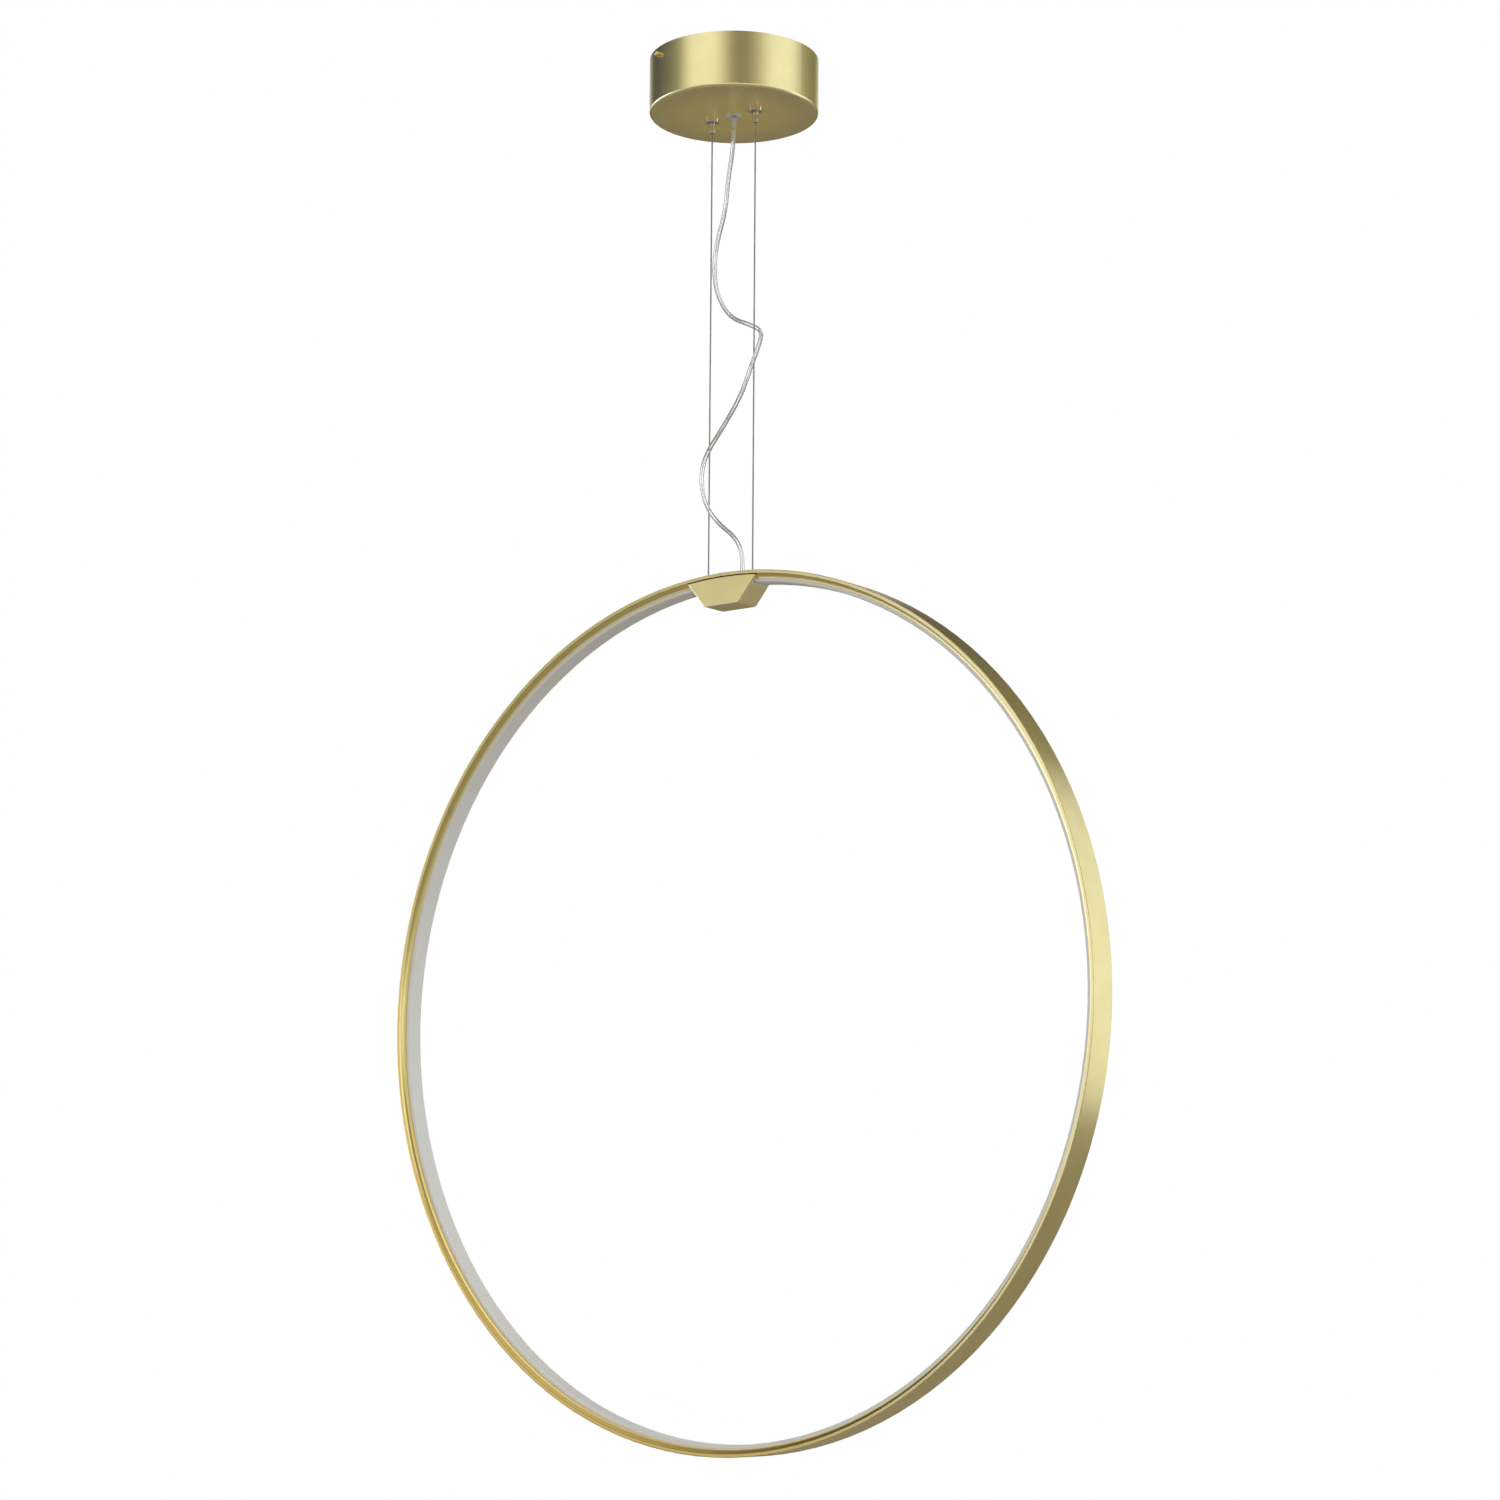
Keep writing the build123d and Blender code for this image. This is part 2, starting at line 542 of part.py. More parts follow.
def ball_followers():
    outer = GRIPPER_THROAT_DIAMETER / 2 + LOOSE
    ring = rod(2 * outer, FOLLOWER_THICKNESS) - rod(WIRE_BORE, FOLLOWER_THICKNESS)
    return on_wires(Pos(0, 0, follower_bottom()) * ring)


def gripper_springs():
    """The coil springs behind the balls, closed up to plain sleeves."""
    low = follower_bottom() + FOLLOWER_THICKNESS + FIT
    height = GRIPPER_SHANK_LENGTH - GRIPPER_CAP - FIT - low
    outer = GRIPPER_THROAT_DIAMETER + 2 * LOOSE
    sleeve = rod(outer, height) - rod(outer - 2 * SPRING_WALL, height)
    return on_wires(Pos(0, 0, low) * sleeve)


def gripper_nuts():
    nut = hex_nut(NUT_ACROSS_FLATS, NUT_HEIGHT, GRIPPER_SHANK_DIAMETER + 2 * FIT)
    return on_wires(Pos(0, 0, CANOPY_WALL) * nut)


def wire_tail(side):
    """The clamped upper end of a wire, with its cut tail bent over inside the canopy."""
    x = side * WIRE_X
    top = CANOPY_BOTTOM + GRIPPER_SHANK_LENGTH + WIRE_TAIL_RISE
    points = [(x, 0, PIVOT_HEIGHT), (x, 0, top), (x, -WIRE_TAIL_LENGTH, top)]
    return round_cord(points, WIRE_TAIL_BEND, WIRE_DIAMETER)


def cable_upper_end():
    """The clamped upper end of the cable, through the gland to the output block."""
    end = BLOCK_OFFSET_Y - BLOCK_WIDTH / 2 + BLOCK_ENTRY_DEPTH - FIT
    points = [(0, 0, PIVOT_HEIGHT), (0, 0, BLOCK_MIDDLE), (0, end, BLOCK_MIDDLE)]
    return round_cord(points, CABLE_BEND_RADIUS, CABLE_DIAMETER)


# Suspension

def wire(side):
    """A taut wire from its gripper's tip to the stop inside the ring."""
    low = RING_CENTRE + STOP_HEIGHT + STOP_DIAMETER / 2 + STOP_COLLAR_LENGTH + FIT
    return Pos(side * WIRE_X, 0, low) * rod(WIRE_DIAMETER, PIVOT_HEIGHT - BREAK - low)


def corner_radii(points):
    """The largest arcs that the runs beside each corner leave room for."""
    radii = []
    for before, corner, after in zip(points, points[1:], points[2:]):
        first = Vector(corner) - Vector(before)
        second = Vector(after) - Vector(corner)
        half_turn = radians(first.get_angle(second) / 2)
        radii.append(BEND_SHARE * min(first.length, second.length) / tan(half_turn))
    return radii


def power_cable():
    """The slack supply cable between canopy and ring."""
    radii = corner_radii(CABLE_ROUTE)
    print("power_cable radii", [round(radius, 1) for radius in radii])
    cable = round_cord(CABLE_ROUTE, radii, CABLE_DIAMETER)
    length = FilletPolyline(*CABLE_ROUTE, radius=radii).length
    print("power_cable length", round(length, 1), "volume ratio",
          round(cable.volume / (pi * CABLE_DIAMETER ** 2 / 4 * length), 4))
    return cable


def wire_stop(side):
    """The collared ball swaged on a wire's lower end."""
    ball = Sphere(STOP_DIAMETER / 2) + rod(STOP_COLLAR_DIAMETER, STOP_DIAMETER / 2 + STOP_COLLAR_LENGTH)
    return Pos(side * WIRE_X, 0, RING_CENTRE + STOP_HEIGHT) * ball


# Ring, in sections on its own YZ plane with the ring's centre at the origin

def mirrored_face(half):
    """A closed face from one half of its outline, which starts and ends off the middle line."""
    other = mirror(half, about=Plane.YZ)
    caps = [Line(half @ 0, other @ 0), Line(half @ 1, other @ 1)]
    return make_face([*half.edges(), *other.edges(), *caps])


def swept_ring(face, start, end):
    """A section carried round the ring between two turns from its top."""
    placed = on_ring(start) * (Plane.YZ * face)
    axis = Axis((0, 0, RING_CENTRE), (0, 1, 0))
    return revolve(placed, axis, end - start)


def cove(clearance=0.0):
    """The hollow quarter circle from the band in to the lip, or a clearance outside it."""
    radius = COVE_RADIUS - clearance
    lip = RING_RADIUS - METAL_DEPTH
    return SagittaArc((BAND_HALF, lip + radius), (BAND_HALF - radius, lip), -radius * (1 - sqrt(0.5)))


def ring_section():
    edge = (RING_WIDTH / 2, RING_RADIUS)
    side = cove()
    mouth = (MOUTH_HALF, RING_RADIUS - METAL_DEPTH)
    ledge = (MOUTH_HALF, RING_RADIUS - LEDGE_DEPTH)
    channel = (CHANNEL_HALF, RING_RADIUS - LEDGE_DEPTH)
    floor = (CHANNEL_HALF, RING_RADIUS - RING_WALL)
    inside = Polyline(side @ 1, mouth, ledge, channel, floor)
    face = mirrored_face(Wire([Line(edge, side @ 0), side, *inside.edges()]))
    return fillet(face.vertices().group_by(Axis.Y)[-1], RING_EDGE_RADIUS)


def ring_profile():
    ring = swept_ring(ring_section(), 180, 540)
    ring -= on_ring(0, RING_RADIUS) * Box(RING_SEAM, 2 * RING_WIDTH, 4 * METAL_DEPTH)
    for side in (-1, 1):
        ring -= on_ring(side * STOP_TURN, RING_RADIUS) * Cylinder(EYELET_DIAMETER / 2 + FIT, 3 * RING_WALL)
    ring -= cable_hole(GROMMET_DIAMETER + 2 * FIT)
    for place in splice_screw_places():
        ring -= place * countersunk_cutter()
    return ring


def cable_hole(diameter):
    """A cutter along the cable where it enters the ring."""
    return on_ring(ring_turn(CABLE_OFFSET), RING_RADIUS) * Cylinder(diameter / 2, 2 * METAL_DEPTH)


def splice_screw_places():
    offsets = (-SPLICE_SCREW_OUTER, -SPLICE_SCREW_INNER, SPLICE_SCREW_INNER, SPLICE_SCREW_OUTER)
    return [on_ring(ring_turn(offset), RING_RADIUS) for offset in offsets]


def countersunk_cutter():
    screw = countersunk_screw(SPLICE_SCREW_DIAMETER + 2 * FIT, SPLICE_SCREW_HEAD + 2 * FIT,
                              SPLICE_SCREW_LENGTH + 2 * RING_WALL)
    return screw + rod(SPLICE_SCREW_HEAD + 2 * FIT, RING_WALL)


def diffuser():
    """An opal channel that snaps into the ring's mouth and stops inside the hub."""
    outer = DIFFUSER_HALF
    inner = outer - DIFFUSER_LEG
    leg_end = RING_RADIUS - LEDGE_DEPTH - BREAK
    face_out = RING_RADIUS - RING_TOTAL_DEPTH
    under = face_out + DIFFUSER_WALL
    face = mirrored_face(Polyline((outer, face_out), (outer, leg_end), (inner, leg_end), (inner, under)))
    face = fillet(face.vertices().group_by(Axis.Y)[1], DIFFUSER_EDGE_RADIUS - DIFFUSER_WALL)
    face = fillet(face.vertices().group_by(Axis.Y)[0], DIFFUSER_EDGE_RADIUS)
    end = ring_turn(HUB_TOP_WIDTH / 2 - DIFFUSER_HIDDEN_END)
    return swept_ring(face, end, 360 - end)


def led_strip():
    face = Pos(0, STRIP_SEAT - STRIP_THICKNESS / 2) * Rectangle(STRIP_WIDTH, STRIP_THICKNESS)
    end = ring_turn(STRIP_END)
    return swept_ring(face, end, 360 - end)


def led_chips():
    seat = STRIP_SEAT - STRIP_THICKNESS
    chip = Box(CHIP_LENGTH, CHIP_WIDTH, CHIP_HEIGHT, align=TOP)
    margin = ring_turn(STRIP_END) + CHIP_STEP / 2
    count = int((360 - 2 * margin) / CHIP_STEP) + 1
    start = 180 - (count - 1) * CHIP_STEP / 2
    sink = seat - sqrt(seat ** 2 - (CHIP_LENGTH / 2) ** 2)
    return Compound([on_ring(start + number * CHIP_STEP, seat - sink) * chip for number in range(count)])


# Splice, stops and hub at the top of the ring

def ring_splice():
    """An arc that bridges the seam, with a seat for each wire stop and a post for each hub screw."""
    middle = (SPLICE_TOP + SPLICE_BOTTOM) / 2
    face = Pos(0, middle) * Rectangle(2 * (CHANNEL_HALF - SLIDE), SPLICE_TOP - SPLICE_BOTTOM)
    end = ring_turn(SPLICE_HALF)
    splice = swept_ring(face, -end, end)
    for side in (-1, 1):
        post = Cylinder(HUB_POST_DIAMETER / 2, middle - POCKET_RADIUS + HUB_SHELF, align=TOP)
        splice += Pos(side * HUB_SCREW_OFFSET, 0, RING_CENTRE + middle) * post
    splice -= Pos(0, 0, RING_CENTRE) * ALONG_Y * Cylinder(POCKET_RADIUS + FIT, 2 * RING_WIDTH)
    for side in (-1, 1):
        splice -= hub_screw_place(side) * rod(SMALL_SCREW_DIAMETER + 2 * FIT, hub_screw_length())
        splice -= on_ring(side * STOP_TURN, STOP_RADIUS) * Sphere(STOP_DIAMETER / 2 + FIT)
        splice -= on_ring(side * STOP_TURN, STOP_RADIUS) * rod(EYELET_BORE, STOP_DEPTH)
    splice -= cable_hole(CABLE_HOLE)
    for place in splice_screw_places():
        splice -= place * Cylinder(SPLICE_SCREW_DIAMETER / 2 + FIT, 4 * SPLICE_SCREW_LENGTH)
    return splice


def splice_screws():
    screw = countersunk_screw(SPLICE_SCREW_DIAMETER, SPLICE_SCREW_HEAD, SPLICE_SCREW_LENGTH)
    return Compound([place * Pos(0, 0, -FIT) * screw for place in splice_screw_places()])


def hub_screw_place(side):
    return Pos(side * HUB_SCREW_OFFSET, 0, RING_CENTRE + CAVITY_TOP)


def hub_screw_length():
    """From the shelf's underside through the post into the splice."""
    return (SPLICE_BOTTOM + SPLICE_TOP) / 2 - CAVITY_TOP


def hub_screws():
    length = hub_screw_length() - FIT
    screw = pan_screw(SMALL_SCREW_DIAMETER, SMALL_SCREW_HEAD, SMALL_SCREW_HEAD_HEIGHT, length)
    return Compound([hub_screw_place(side) * screw for side in (-1, 1)])


def flanged_bush(bore, body, flange, thickness):
    """A bush in the ring's wall, given by its radii, with a bevelled flange on the ring's outside."""
    bevel = thickness / 2
    return turned((bore, -RING_WALL), (body, -RING_WALL), (body, 0), (flange, 0), (flange, bevel),
                  (flange - bevel, thickness), (bore, thickness))


def wire_eyelets():
    """Flanged eyelets that line the wire holes on top of the ring."""
    bore = EYELET_BORE / 2
    body = flanged_bush(bore, EYELET_DIAMETER / 2, EYELET_FLANGE_DIAMETER / 2, EYELET_FLANGE_THICKNESS)
    return Compound([on_ring(side * STOP_TURN, RING_RADIUS) * body for side in (-1, 1)])


def cable_grommet():
    bore = CABLE_DIAMETER / 2 + LOOSE
    body = flanged_bush(bore, GROMMET_DIAMETER / 2, GROMMET_FLANGE_DIAMETER / 2, GROMMET_FLANGE_THICKNESS)
    return on_ring(ring_turn(CABLE_OFFSET), RING_RADIUS) * body


def hub_outline():
    """The hub's front view, a trapezium that reaches past the arc of its top."""
    top = HUB_TOP_RADIUS + HUB_SHADOW_GAP
    wide = hub_half_width(top)
    narrow = HUB_BOTTOM_WIDTH / 2
    return make_face(Polyline((-wide, top), (wide, top), (narrow, HUB_BOTTOM), (-narrow, HUB_BOTTOM),
                              close=True))


def hub_half_width(height, margin=0.0):
    """Half the hub's width at a height above the ring's centre, drawn in by a margin."""
    return HUB_BOTTOM_WIDTH / 2 + HUB_SLOPE * (height - HUB_BOTTOM) - margin * sqrt(1 + HUB_SLOPE ** 2)


def upright(face, front, back):
    """A front-view face of the hub, carried from one depth to another."""
    return Pos(0, front, RING_CENTRE) * extrude(Plane.XZ * face, -(back - front))


def hub_inside(clearance=0.0):
    """The hub's hollow in front view, below its shelf."""
    top = CAVITY_TOP - clearance
    floor = CAVITY_FLOOR + clearance
    wide = hub_half_width(top, HUB_WALL + clearance)
    narrow = hub_half_width(floor, HUB_WALL + clearance)
    return make_face(Polyline((-wide, top), (wide, top), (narrow, floor), (-narrow, floor), close=True))


def ring_pocket():
    """The room that the ring's inner part and its diffuser take in the hub."""
    lip = RING_RADIUS - METAL_DEPTH - LOOSE
    inner = DIFFUSER_HALF + LOOSE
    side = cove(LOOSE)
    inside = Polyline(side @ 1, (LIP_HALF + LOOSE, lip), (inner, lip), (inner, POCKET_RADIUS))
    half = Wire([Line((BAND_HALF, RING_RADIUS), side @ 0), side, *inside.edges()])
    end = 2 * ring_turn(HUB_TOP_WIDTH / 2, POCKET_RADIUS)
    return swept_ring(mirrored_face(half), -end, end)


def cover_screw_reach():
    """How far out the cover's screws lie, beside the hub's sloping walls."""
    height = (CAVITY_TOP + CAVITY_FLOOR) / 2
    return hub_half_width(height, HUB_WALL + COVER_BOSS_DIAMETER / 2 + COVER_BOSS_MARGIN)


def cover_screw_places():
    height = RING_CENTRE + (CAVITY_TOP + CAVITY_FLOOR) / 2
    return [Pos(side * cover_screw_reach(), HUB_DEPTH / 2, height) for side in (-1, 1)]


def hub_body():
    """A shell open at its back, hollowed on top to saddle the ring."""
    block = upright(hub_outline(), -HUB_DEPTH / 2, HUB_DEPTH / 2)
    block = fillet(block.edges().filter_by(Axis.Y).group_by(Axis.Z)[0], HUB_CORNER_RADIUS)
    ends = block.faces().sort_by(Axis.Y)
    rims = [edge for end in (ends[0], ends[-1]) for edge in end.edges().sort_by(Axis.Z)[:-1]]
    block = fillet(rims, HUB_EDGE_RADIUS)
    block &= Pos(0, 0, RING_CENTRE) * ALONG_Y * Cylinder(HUB_TOP_RADIUS, 2 * HUB_DEPTH)
    block -= ring_pocket()
    block -= upright(hub_inside(), HUB_WALL - HUB_DEPTH / 2, HUB_DEPTH)
    boss_length = HUB_DEPTH - HUB_WALL - COVER_THICKNESS
    boss = ALONG_Y * Cylinder(COVER_BOSS_DIAMETER / 2, boss_length, align=TOP)
    screw_hole = ALONG_Y * Cylinder(COVER_SCREW_DIAMETER / 2 + FIT, 2 * COVER_SCREW_LENGTH + 4 * FIT)
    for place in cover_screw_places():
        block += place * Pos(0, -COVER_THICKNESS, 0) * boss
        block -= place * screw_hole
    for side in (-1, 1):
        block -= hub_screw_place(side) * Cylinder(SMALL_SCREW_DIAMETER / 2 + FIT, 4 * HUB_SHELF)
    block -= cable_hole_in_shelf()
    for start in LED_LEAD_STARTS:
        hole = Cylinder(LED_LEAD_DIAMETER / 2 + LOOSE, 4 * HUB_SHELF)
        block -= Pos(start, LED_LEAD_SHIFT, RING_CENTRE + CAVITY_TOP) * hole
    return block


def cable_hole_in_shelf():
    hole = Cylinder(CABLE_DIAMETER / 2 + LOOSE, 4 * HUB_SHELF)
    return Pos(CABLE_OFFSET, 0, RING_CENTRE + CAVITY_TOP) * hole


def hub_cover():
    """The plate that closes the hub's back, flush inside its rim."""
    cover = upright(hub_inside(SLIDE), HUB_DEPTH / 2 - COVER_THICKNESS, HUB_DEPTH / 2)
    cutter = countersunk_screw(COVER_SCREW_DIAMETER + 2 * FIT, COVER_SCREW_HEAD + 2 * FIT,
                               2 * COVER_THICKNESS)
    for place in cover_screw_places():
        cover -= place * ALONG_Y * cutter
    return cover


def hub_cover_screws():
    screw = countersunk_screw(COVER_SCREW_DIAMETER, COVER_SCREW_HEAD, COVER_SCREW_LENGTH)
    return Compound([place * ALONG_Y * Pos(0, 0, -FIT) * screw for place in cover_screw_places()])


def connector_top():
    return RING_CENTRE + CAVITY_FLOOR + CONNECTOR_HEIGHT


def led_connector():
    """The plug-in joint between the cable and the leads, lying on the hub's floor between the bosses."""
    length = 2 * (cover_screw_reach() - COVER_BOSS_DIAMETER / 2 - BREAK)
    block = Box(length, CONNECTOR_WIDTH, CONNECTOR_HEIGHT, align=BOTTOM)
    block = fillet(block.edges().filter_by(Axis.Z), BLOCK_EDGE_RADIUS)
    slit = Box(CONNECTOR_SLIT, 2 * CONNECTOR_WIDTH, CONNECTOR_HEIGHT, align=BOTTOM)
    block -= Pos((CABLE_OFFSET + LED_LEAD_STARTS[1]) / 2, 0, CONNECTOR_HEIGHT / 2) * slit
    return Pos(0, 0, RING_CENTRE + CAVITY_FLOOR) * block


def cable_lower_end():
    """The cable's end inside the ring, from the grommet down to the connector."""
    top = RING_CENTRE + sqrt(RING_RADIUS ** 2 - CABLE_OFFSET ** 2) + GROMMET_FLANGE_THICKNESS - LOOSE
    return Pos(CABLE_OFFSET, 0, connector_top()) * rod(CABLE_DIAMETER, top - connector_top())


def led_leads():
    """Two thin leads from the connector along the channel to the ends of the light strip."""
    leads = []
    strip_face = STRIP_SEAT - STRIP_THICKNESS - LED_LEAD_DIAMETER / 2 - FIT
    run = RING_RADIUS - LED_LEAD_DEPTH
    for side, start in zip((-1, 1), LED_LEAD_STARTS):
        clear = side * (SPLICE_HALF + LED_LEAD_BEND / 2)
        end = side * (STRIP_END + 2 * LED_LEAD_BEND)
        points = [(start, LED_LEAD_SHIFT, connector_top()),
                  (start, LED_LEAD_SHIFT, RING_CENTRE + sqrt(run ** 2 - start ** 2)),
                  (clear, LED_LEAD_SHIFT, RING_CENTRE + sqrt(run ** 2 - clear ** 2)),
                  (end, LED_LEAD_SHIFT, RING_CENTRE + sqrt(strip_face ** 2 - end ** 2))]
        leads.append(round_cord(points, LED_LEAD_BEND, LED_LEAD_DIAMETER))
    return Compound(leads)


PIECES = {
    "ceiling_bracket": ceiling_bracket(),
    "canopy": canopy(),
    "canopy_screws": canopy_screws(),
    "led_driver": led_driver(),
    "driver_pad": driver_pad(),
    "output_block": output_block(),
    "supply_block": supply_block(),
    "block_screws": block_screws(),
    "earth_screw": earth_screw(),
    "output_lead": output_lead(),
    "supply_lead": supply_lead(),
    "cable_gland": cable_gland(),
    "gland_nut": gland_nut(),
    "gripper_left": on_wire(-1, gripper()),
    "gripper_right": on_wire(1, gripper()),
    "gripper_nuts": gripper_nuts(),
    "gripper_balls": gripper_balls(),
    "ball_followers": ball_followers(),
    "gripper_springs": gripper_springs(),
    "release_plunger_left": on_wire(-1, release_plunger()),
    "release_plunger_right": on_wire(1, release_plunger()),
    "wire_tail_left": wire_tail(-1),
    "wire_tail_right": wire_tail(1),
    "cable_upper_end": cable_upper_end(),
    "wire_left": wire(-1),
    "wire_right": wire(1),
    "power_cable": power_cable(),
    "wire_stop_left": wire_stop(-1),
    "wire_stop_right": wire_stop(1),
    "ring_profile": ring_profile(),
    "diffuser": diffuser(),
    "led_strip": led_strip(),
    "led_chips": led_chips(),
    "ring_splice": ring_splice(),
    "splice_screws": splice_screws(),
    "wire_eyelets": wire_eyelets(),
    "cable_grommet": cable_grommet(),
    "hub_body": hub_body(),
    "hub_cover": hub_cover(),
    "hub_cover_screws": hub_cover_screws(),
    "hub_screws": hub_screws(),
    "led_connector": led_connector(),
    "cable_lower_end": cable_lower_end(),
    "led_leads": led_leads(),
}

for name, piece in PIECES.items():
    export_step(piece, f"parts/{name}.step")
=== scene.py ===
from math import cos, pi, radians, sin

import bmesh
import bpy
from mathutils import Matrix, Vector


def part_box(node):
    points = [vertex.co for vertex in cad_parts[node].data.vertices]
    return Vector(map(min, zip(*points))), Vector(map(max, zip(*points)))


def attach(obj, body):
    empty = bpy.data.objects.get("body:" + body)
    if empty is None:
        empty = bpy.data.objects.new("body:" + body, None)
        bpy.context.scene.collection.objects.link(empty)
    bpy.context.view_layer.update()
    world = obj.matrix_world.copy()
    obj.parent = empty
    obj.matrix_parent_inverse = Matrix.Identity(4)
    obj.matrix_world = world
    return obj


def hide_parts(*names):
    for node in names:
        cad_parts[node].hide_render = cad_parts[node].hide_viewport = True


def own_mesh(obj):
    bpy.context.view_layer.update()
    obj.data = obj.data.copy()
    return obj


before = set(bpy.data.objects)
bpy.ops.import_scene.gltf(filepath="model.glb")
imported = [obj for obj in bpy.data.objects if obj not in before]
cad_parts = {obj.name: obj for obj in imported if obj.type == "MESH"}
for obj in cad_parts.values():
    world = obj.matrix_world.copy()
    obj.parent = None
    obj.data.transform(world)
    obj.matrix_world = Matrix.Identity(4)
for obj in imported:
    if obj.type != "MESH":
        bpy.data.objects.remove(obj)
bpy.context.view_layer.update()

# A pendant light: an LED ring hung on two wires from a round ceiling canopy, with a slack clear cable.
# Metres. The frame is the CAD model's: the origin is on the ceiling, +Z is up, the front is towards -Y.

# Camera, as fitted to the outlines of the ring in the photograph
CAMERA_PLACE = Vector((1.89042, -2.38331, -1.1564))
CAMERA_AZIMUTH = radians(38.42)
CAMERA_PITCH = radians(8.96)
CAMERA_ROLL = radians(0.43)
CAMERA_LENS = 80.611
CAMERA_SENSOR = 36.0
CAMERA_SHIFT = (0.0140, 0.01126)
CAMERA_REACH = 200.0

# Wires: six strands laid round a straight one. The suspension swings and shortens at the pivot's height.
PIVOT_HEIGHT = -0.0656
WIRE_X = 0.026
WIRE_DIAMETER = 0.0015
WIRE_END = -0.500258
WIRE_STEPS = 320
WIRE_CORE_STEP = 40
STRAND_COUNT = 6
STRAND_LAY = 0.009
STRAND_SIDES = 6

# Cable: a clear sheath over two thin cores, slack below the pivot and held in the gland above it
CABLE_DIAMETER = 0.0042
CABLE_STEPS = 14
CABLE_SIDES = 24
CORE_DIAMETER = 0.0005
CORE_LAY = 0.11
CORE_SIDES = 12
CABLE_ROUTE = [
    (0.0, 0.0, PIVOT_HEIGHT), (0.0, 0.0, -0.084), (-0.0068, 0.001, -0.112),
    (-0.0108, 0.002, -0.145), (-0.0217, 0.0025, -0.174), (-0.0256, 0.0035, -0.202),
    (-0.0213, 0.005, -0.226), (-0.008, 0.007, -0.248), (0.0135, 0.009, -0.2577),
    (0.0296, 0.008, -0.267), (0.0357, -0.0046, -0.2842), (0.0306, -0.0095, -0.304),
    (0.019, -0.0097, -0.331), (-0.003, -0.009, -0.358), (-0.0215, -0.0085, -0.378),
    (-0.0287, -0.0085, -0.395), (-0.0278, -0.0085, -0.415), (-0.0203, -0.008, -0.435),
    (-0.0065, -0.0062, -0.4508), (0.008, -0.003, -0.463), (0.0152, -0.0006, -0.4793),
    (0.014, 0.0, -0.4964),
]
CABLE_INLET = [
    (0.0, 0.0, PIVOT_HEIGHT), (0.0, 0.0, -0.046), (0.0, 0.0, -0.024), (0.0, 0.0, -0.009),
    (0.0, 0.012, -0.009), (0.0, 0.0209, -0.009),
]

# Ring, hub and canopy
RING_CENTRE = (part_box("ring_profile")[0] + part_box("ring_profile")[1]) / 2
RING_RADIUS = 0.4
HUB_TOP_RADIUS = 0.3965
CANOPY_MIDDLE = (0.0, 0.0, 0.0)
CANOPY_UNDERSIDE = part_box("canopy")[0][2] + 0.002
CANOPY_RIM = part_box("canopy")[1][0]

# Brass: the lacquer's colours, the painted highlights, warm reflection, warm light and shadow laid on it,
# and the ranges over which one passes into another
BRASS = (0.80, 0.69, 0.325)
# Painted highlight along the canopy's rounded lower edge: its colour, and where it lies
RIM_HIGHLIGHT_BRASS = (0.97, 0.85, 0.45)
RIM_HIGHLIGHT_RADII = (CANOPY_RIM - 0.0017, CANOPY_RIM - 0.0008)
RIM_HIGHLIGHT_HEIGHTS = (CANOPY_UNDERSIDE + 0.0006, CANOPY_UNDERSIDE - 0.0002)
# Painted warm reflection on the canopy's underside: its colour, and the radii over which it fades
WARM_REFLECTION_BRASS = (1.0, 0.82, 0.31)
WARM_REFLECTION_RADII = (0.074, 0.036)
RING_BRASS = (0.80, 0.675, 0.30)
# Painted warm light on the ring's lower left: its colour, its side, and the range over which it comes in
WARM_LIGHT_RING = (0.79, 0.605, 0.22)
WARM_LIGHT_SIDE = (-0.5, 0.0, -0.87)
WARM_LIGHT_RANGE = (0.3 * RING_RADIUS, 0.9 * RING_RADIUS)
HUB_BRASS = (0.93, 0.81, 0.405)
# Painted highlights on the hub's edges: their colour, width, samples and the range over which they come in
EDGE_HIGHLIGHT_BRASS = (1.0, 0.96, 0.72)
EDGE_HIGHLIGHT_WIDTH = 0.0024
EDGE_HIGHLIGHT_SAMPLES = 6
EDGE_HIGHLIGHT_RANGE = (0.998, 0.96)
# Painted shadow in the gap under the ring's bands: its colour, and the radii over which it comes in
JOINT_SHADOW_BROWN = (0.10, 0.08, 0.035)
JOINT_SHADOW_RADII = (HUB_TOP_RADIUS - 0.0010, HUB_TOP_RADIUS - 0.0005)

# Brushing: its fineness across the grain, along a straight grain and along one that runs round an axis
BRUSH_ACROSS = 900.0
BRUSH_ALONG = 25.0
BRUSH_ROUND = 5.0

# Unevenness: the share by which colour and roughness vary, and the size of the patches
SATIN_TINT = 0.03
SATIN_GLOSS = 0.035
SATIN_PATCHES = 40.0
PLAIN_GLOSS = 0.12
PLAIN_PATCH_GRAINS = 18

# A Mix node's two colours among its inputs, and its colour among its outputs
MIX_FIRST = 6
MIX_SECOND = 7
MIX_RESULT = 2

# Floor
FLOOR_HEIGHT = -2.6
FLOOR_RADIUS = 15.0
FLOOR_SEGMENTS = 96
FLOOR_FADE = (0.3 * FLOOR_RADIUS, 0.95 * FLOOR_RADIUS)
FLOOR_TONES = ((0.54, 0.515, 0.47), (0.55, 0.525, 0.48))
FLOOR_ROUGHNESS = 0.8
FLOOR_PATCHES = 3.0
FLOOR_PALER = 0.55
FLOOR_PALE_TONE = (0.50, 0.49, 0.47, 1.0)
WHITE = (1.0, 1.0, 1.0)

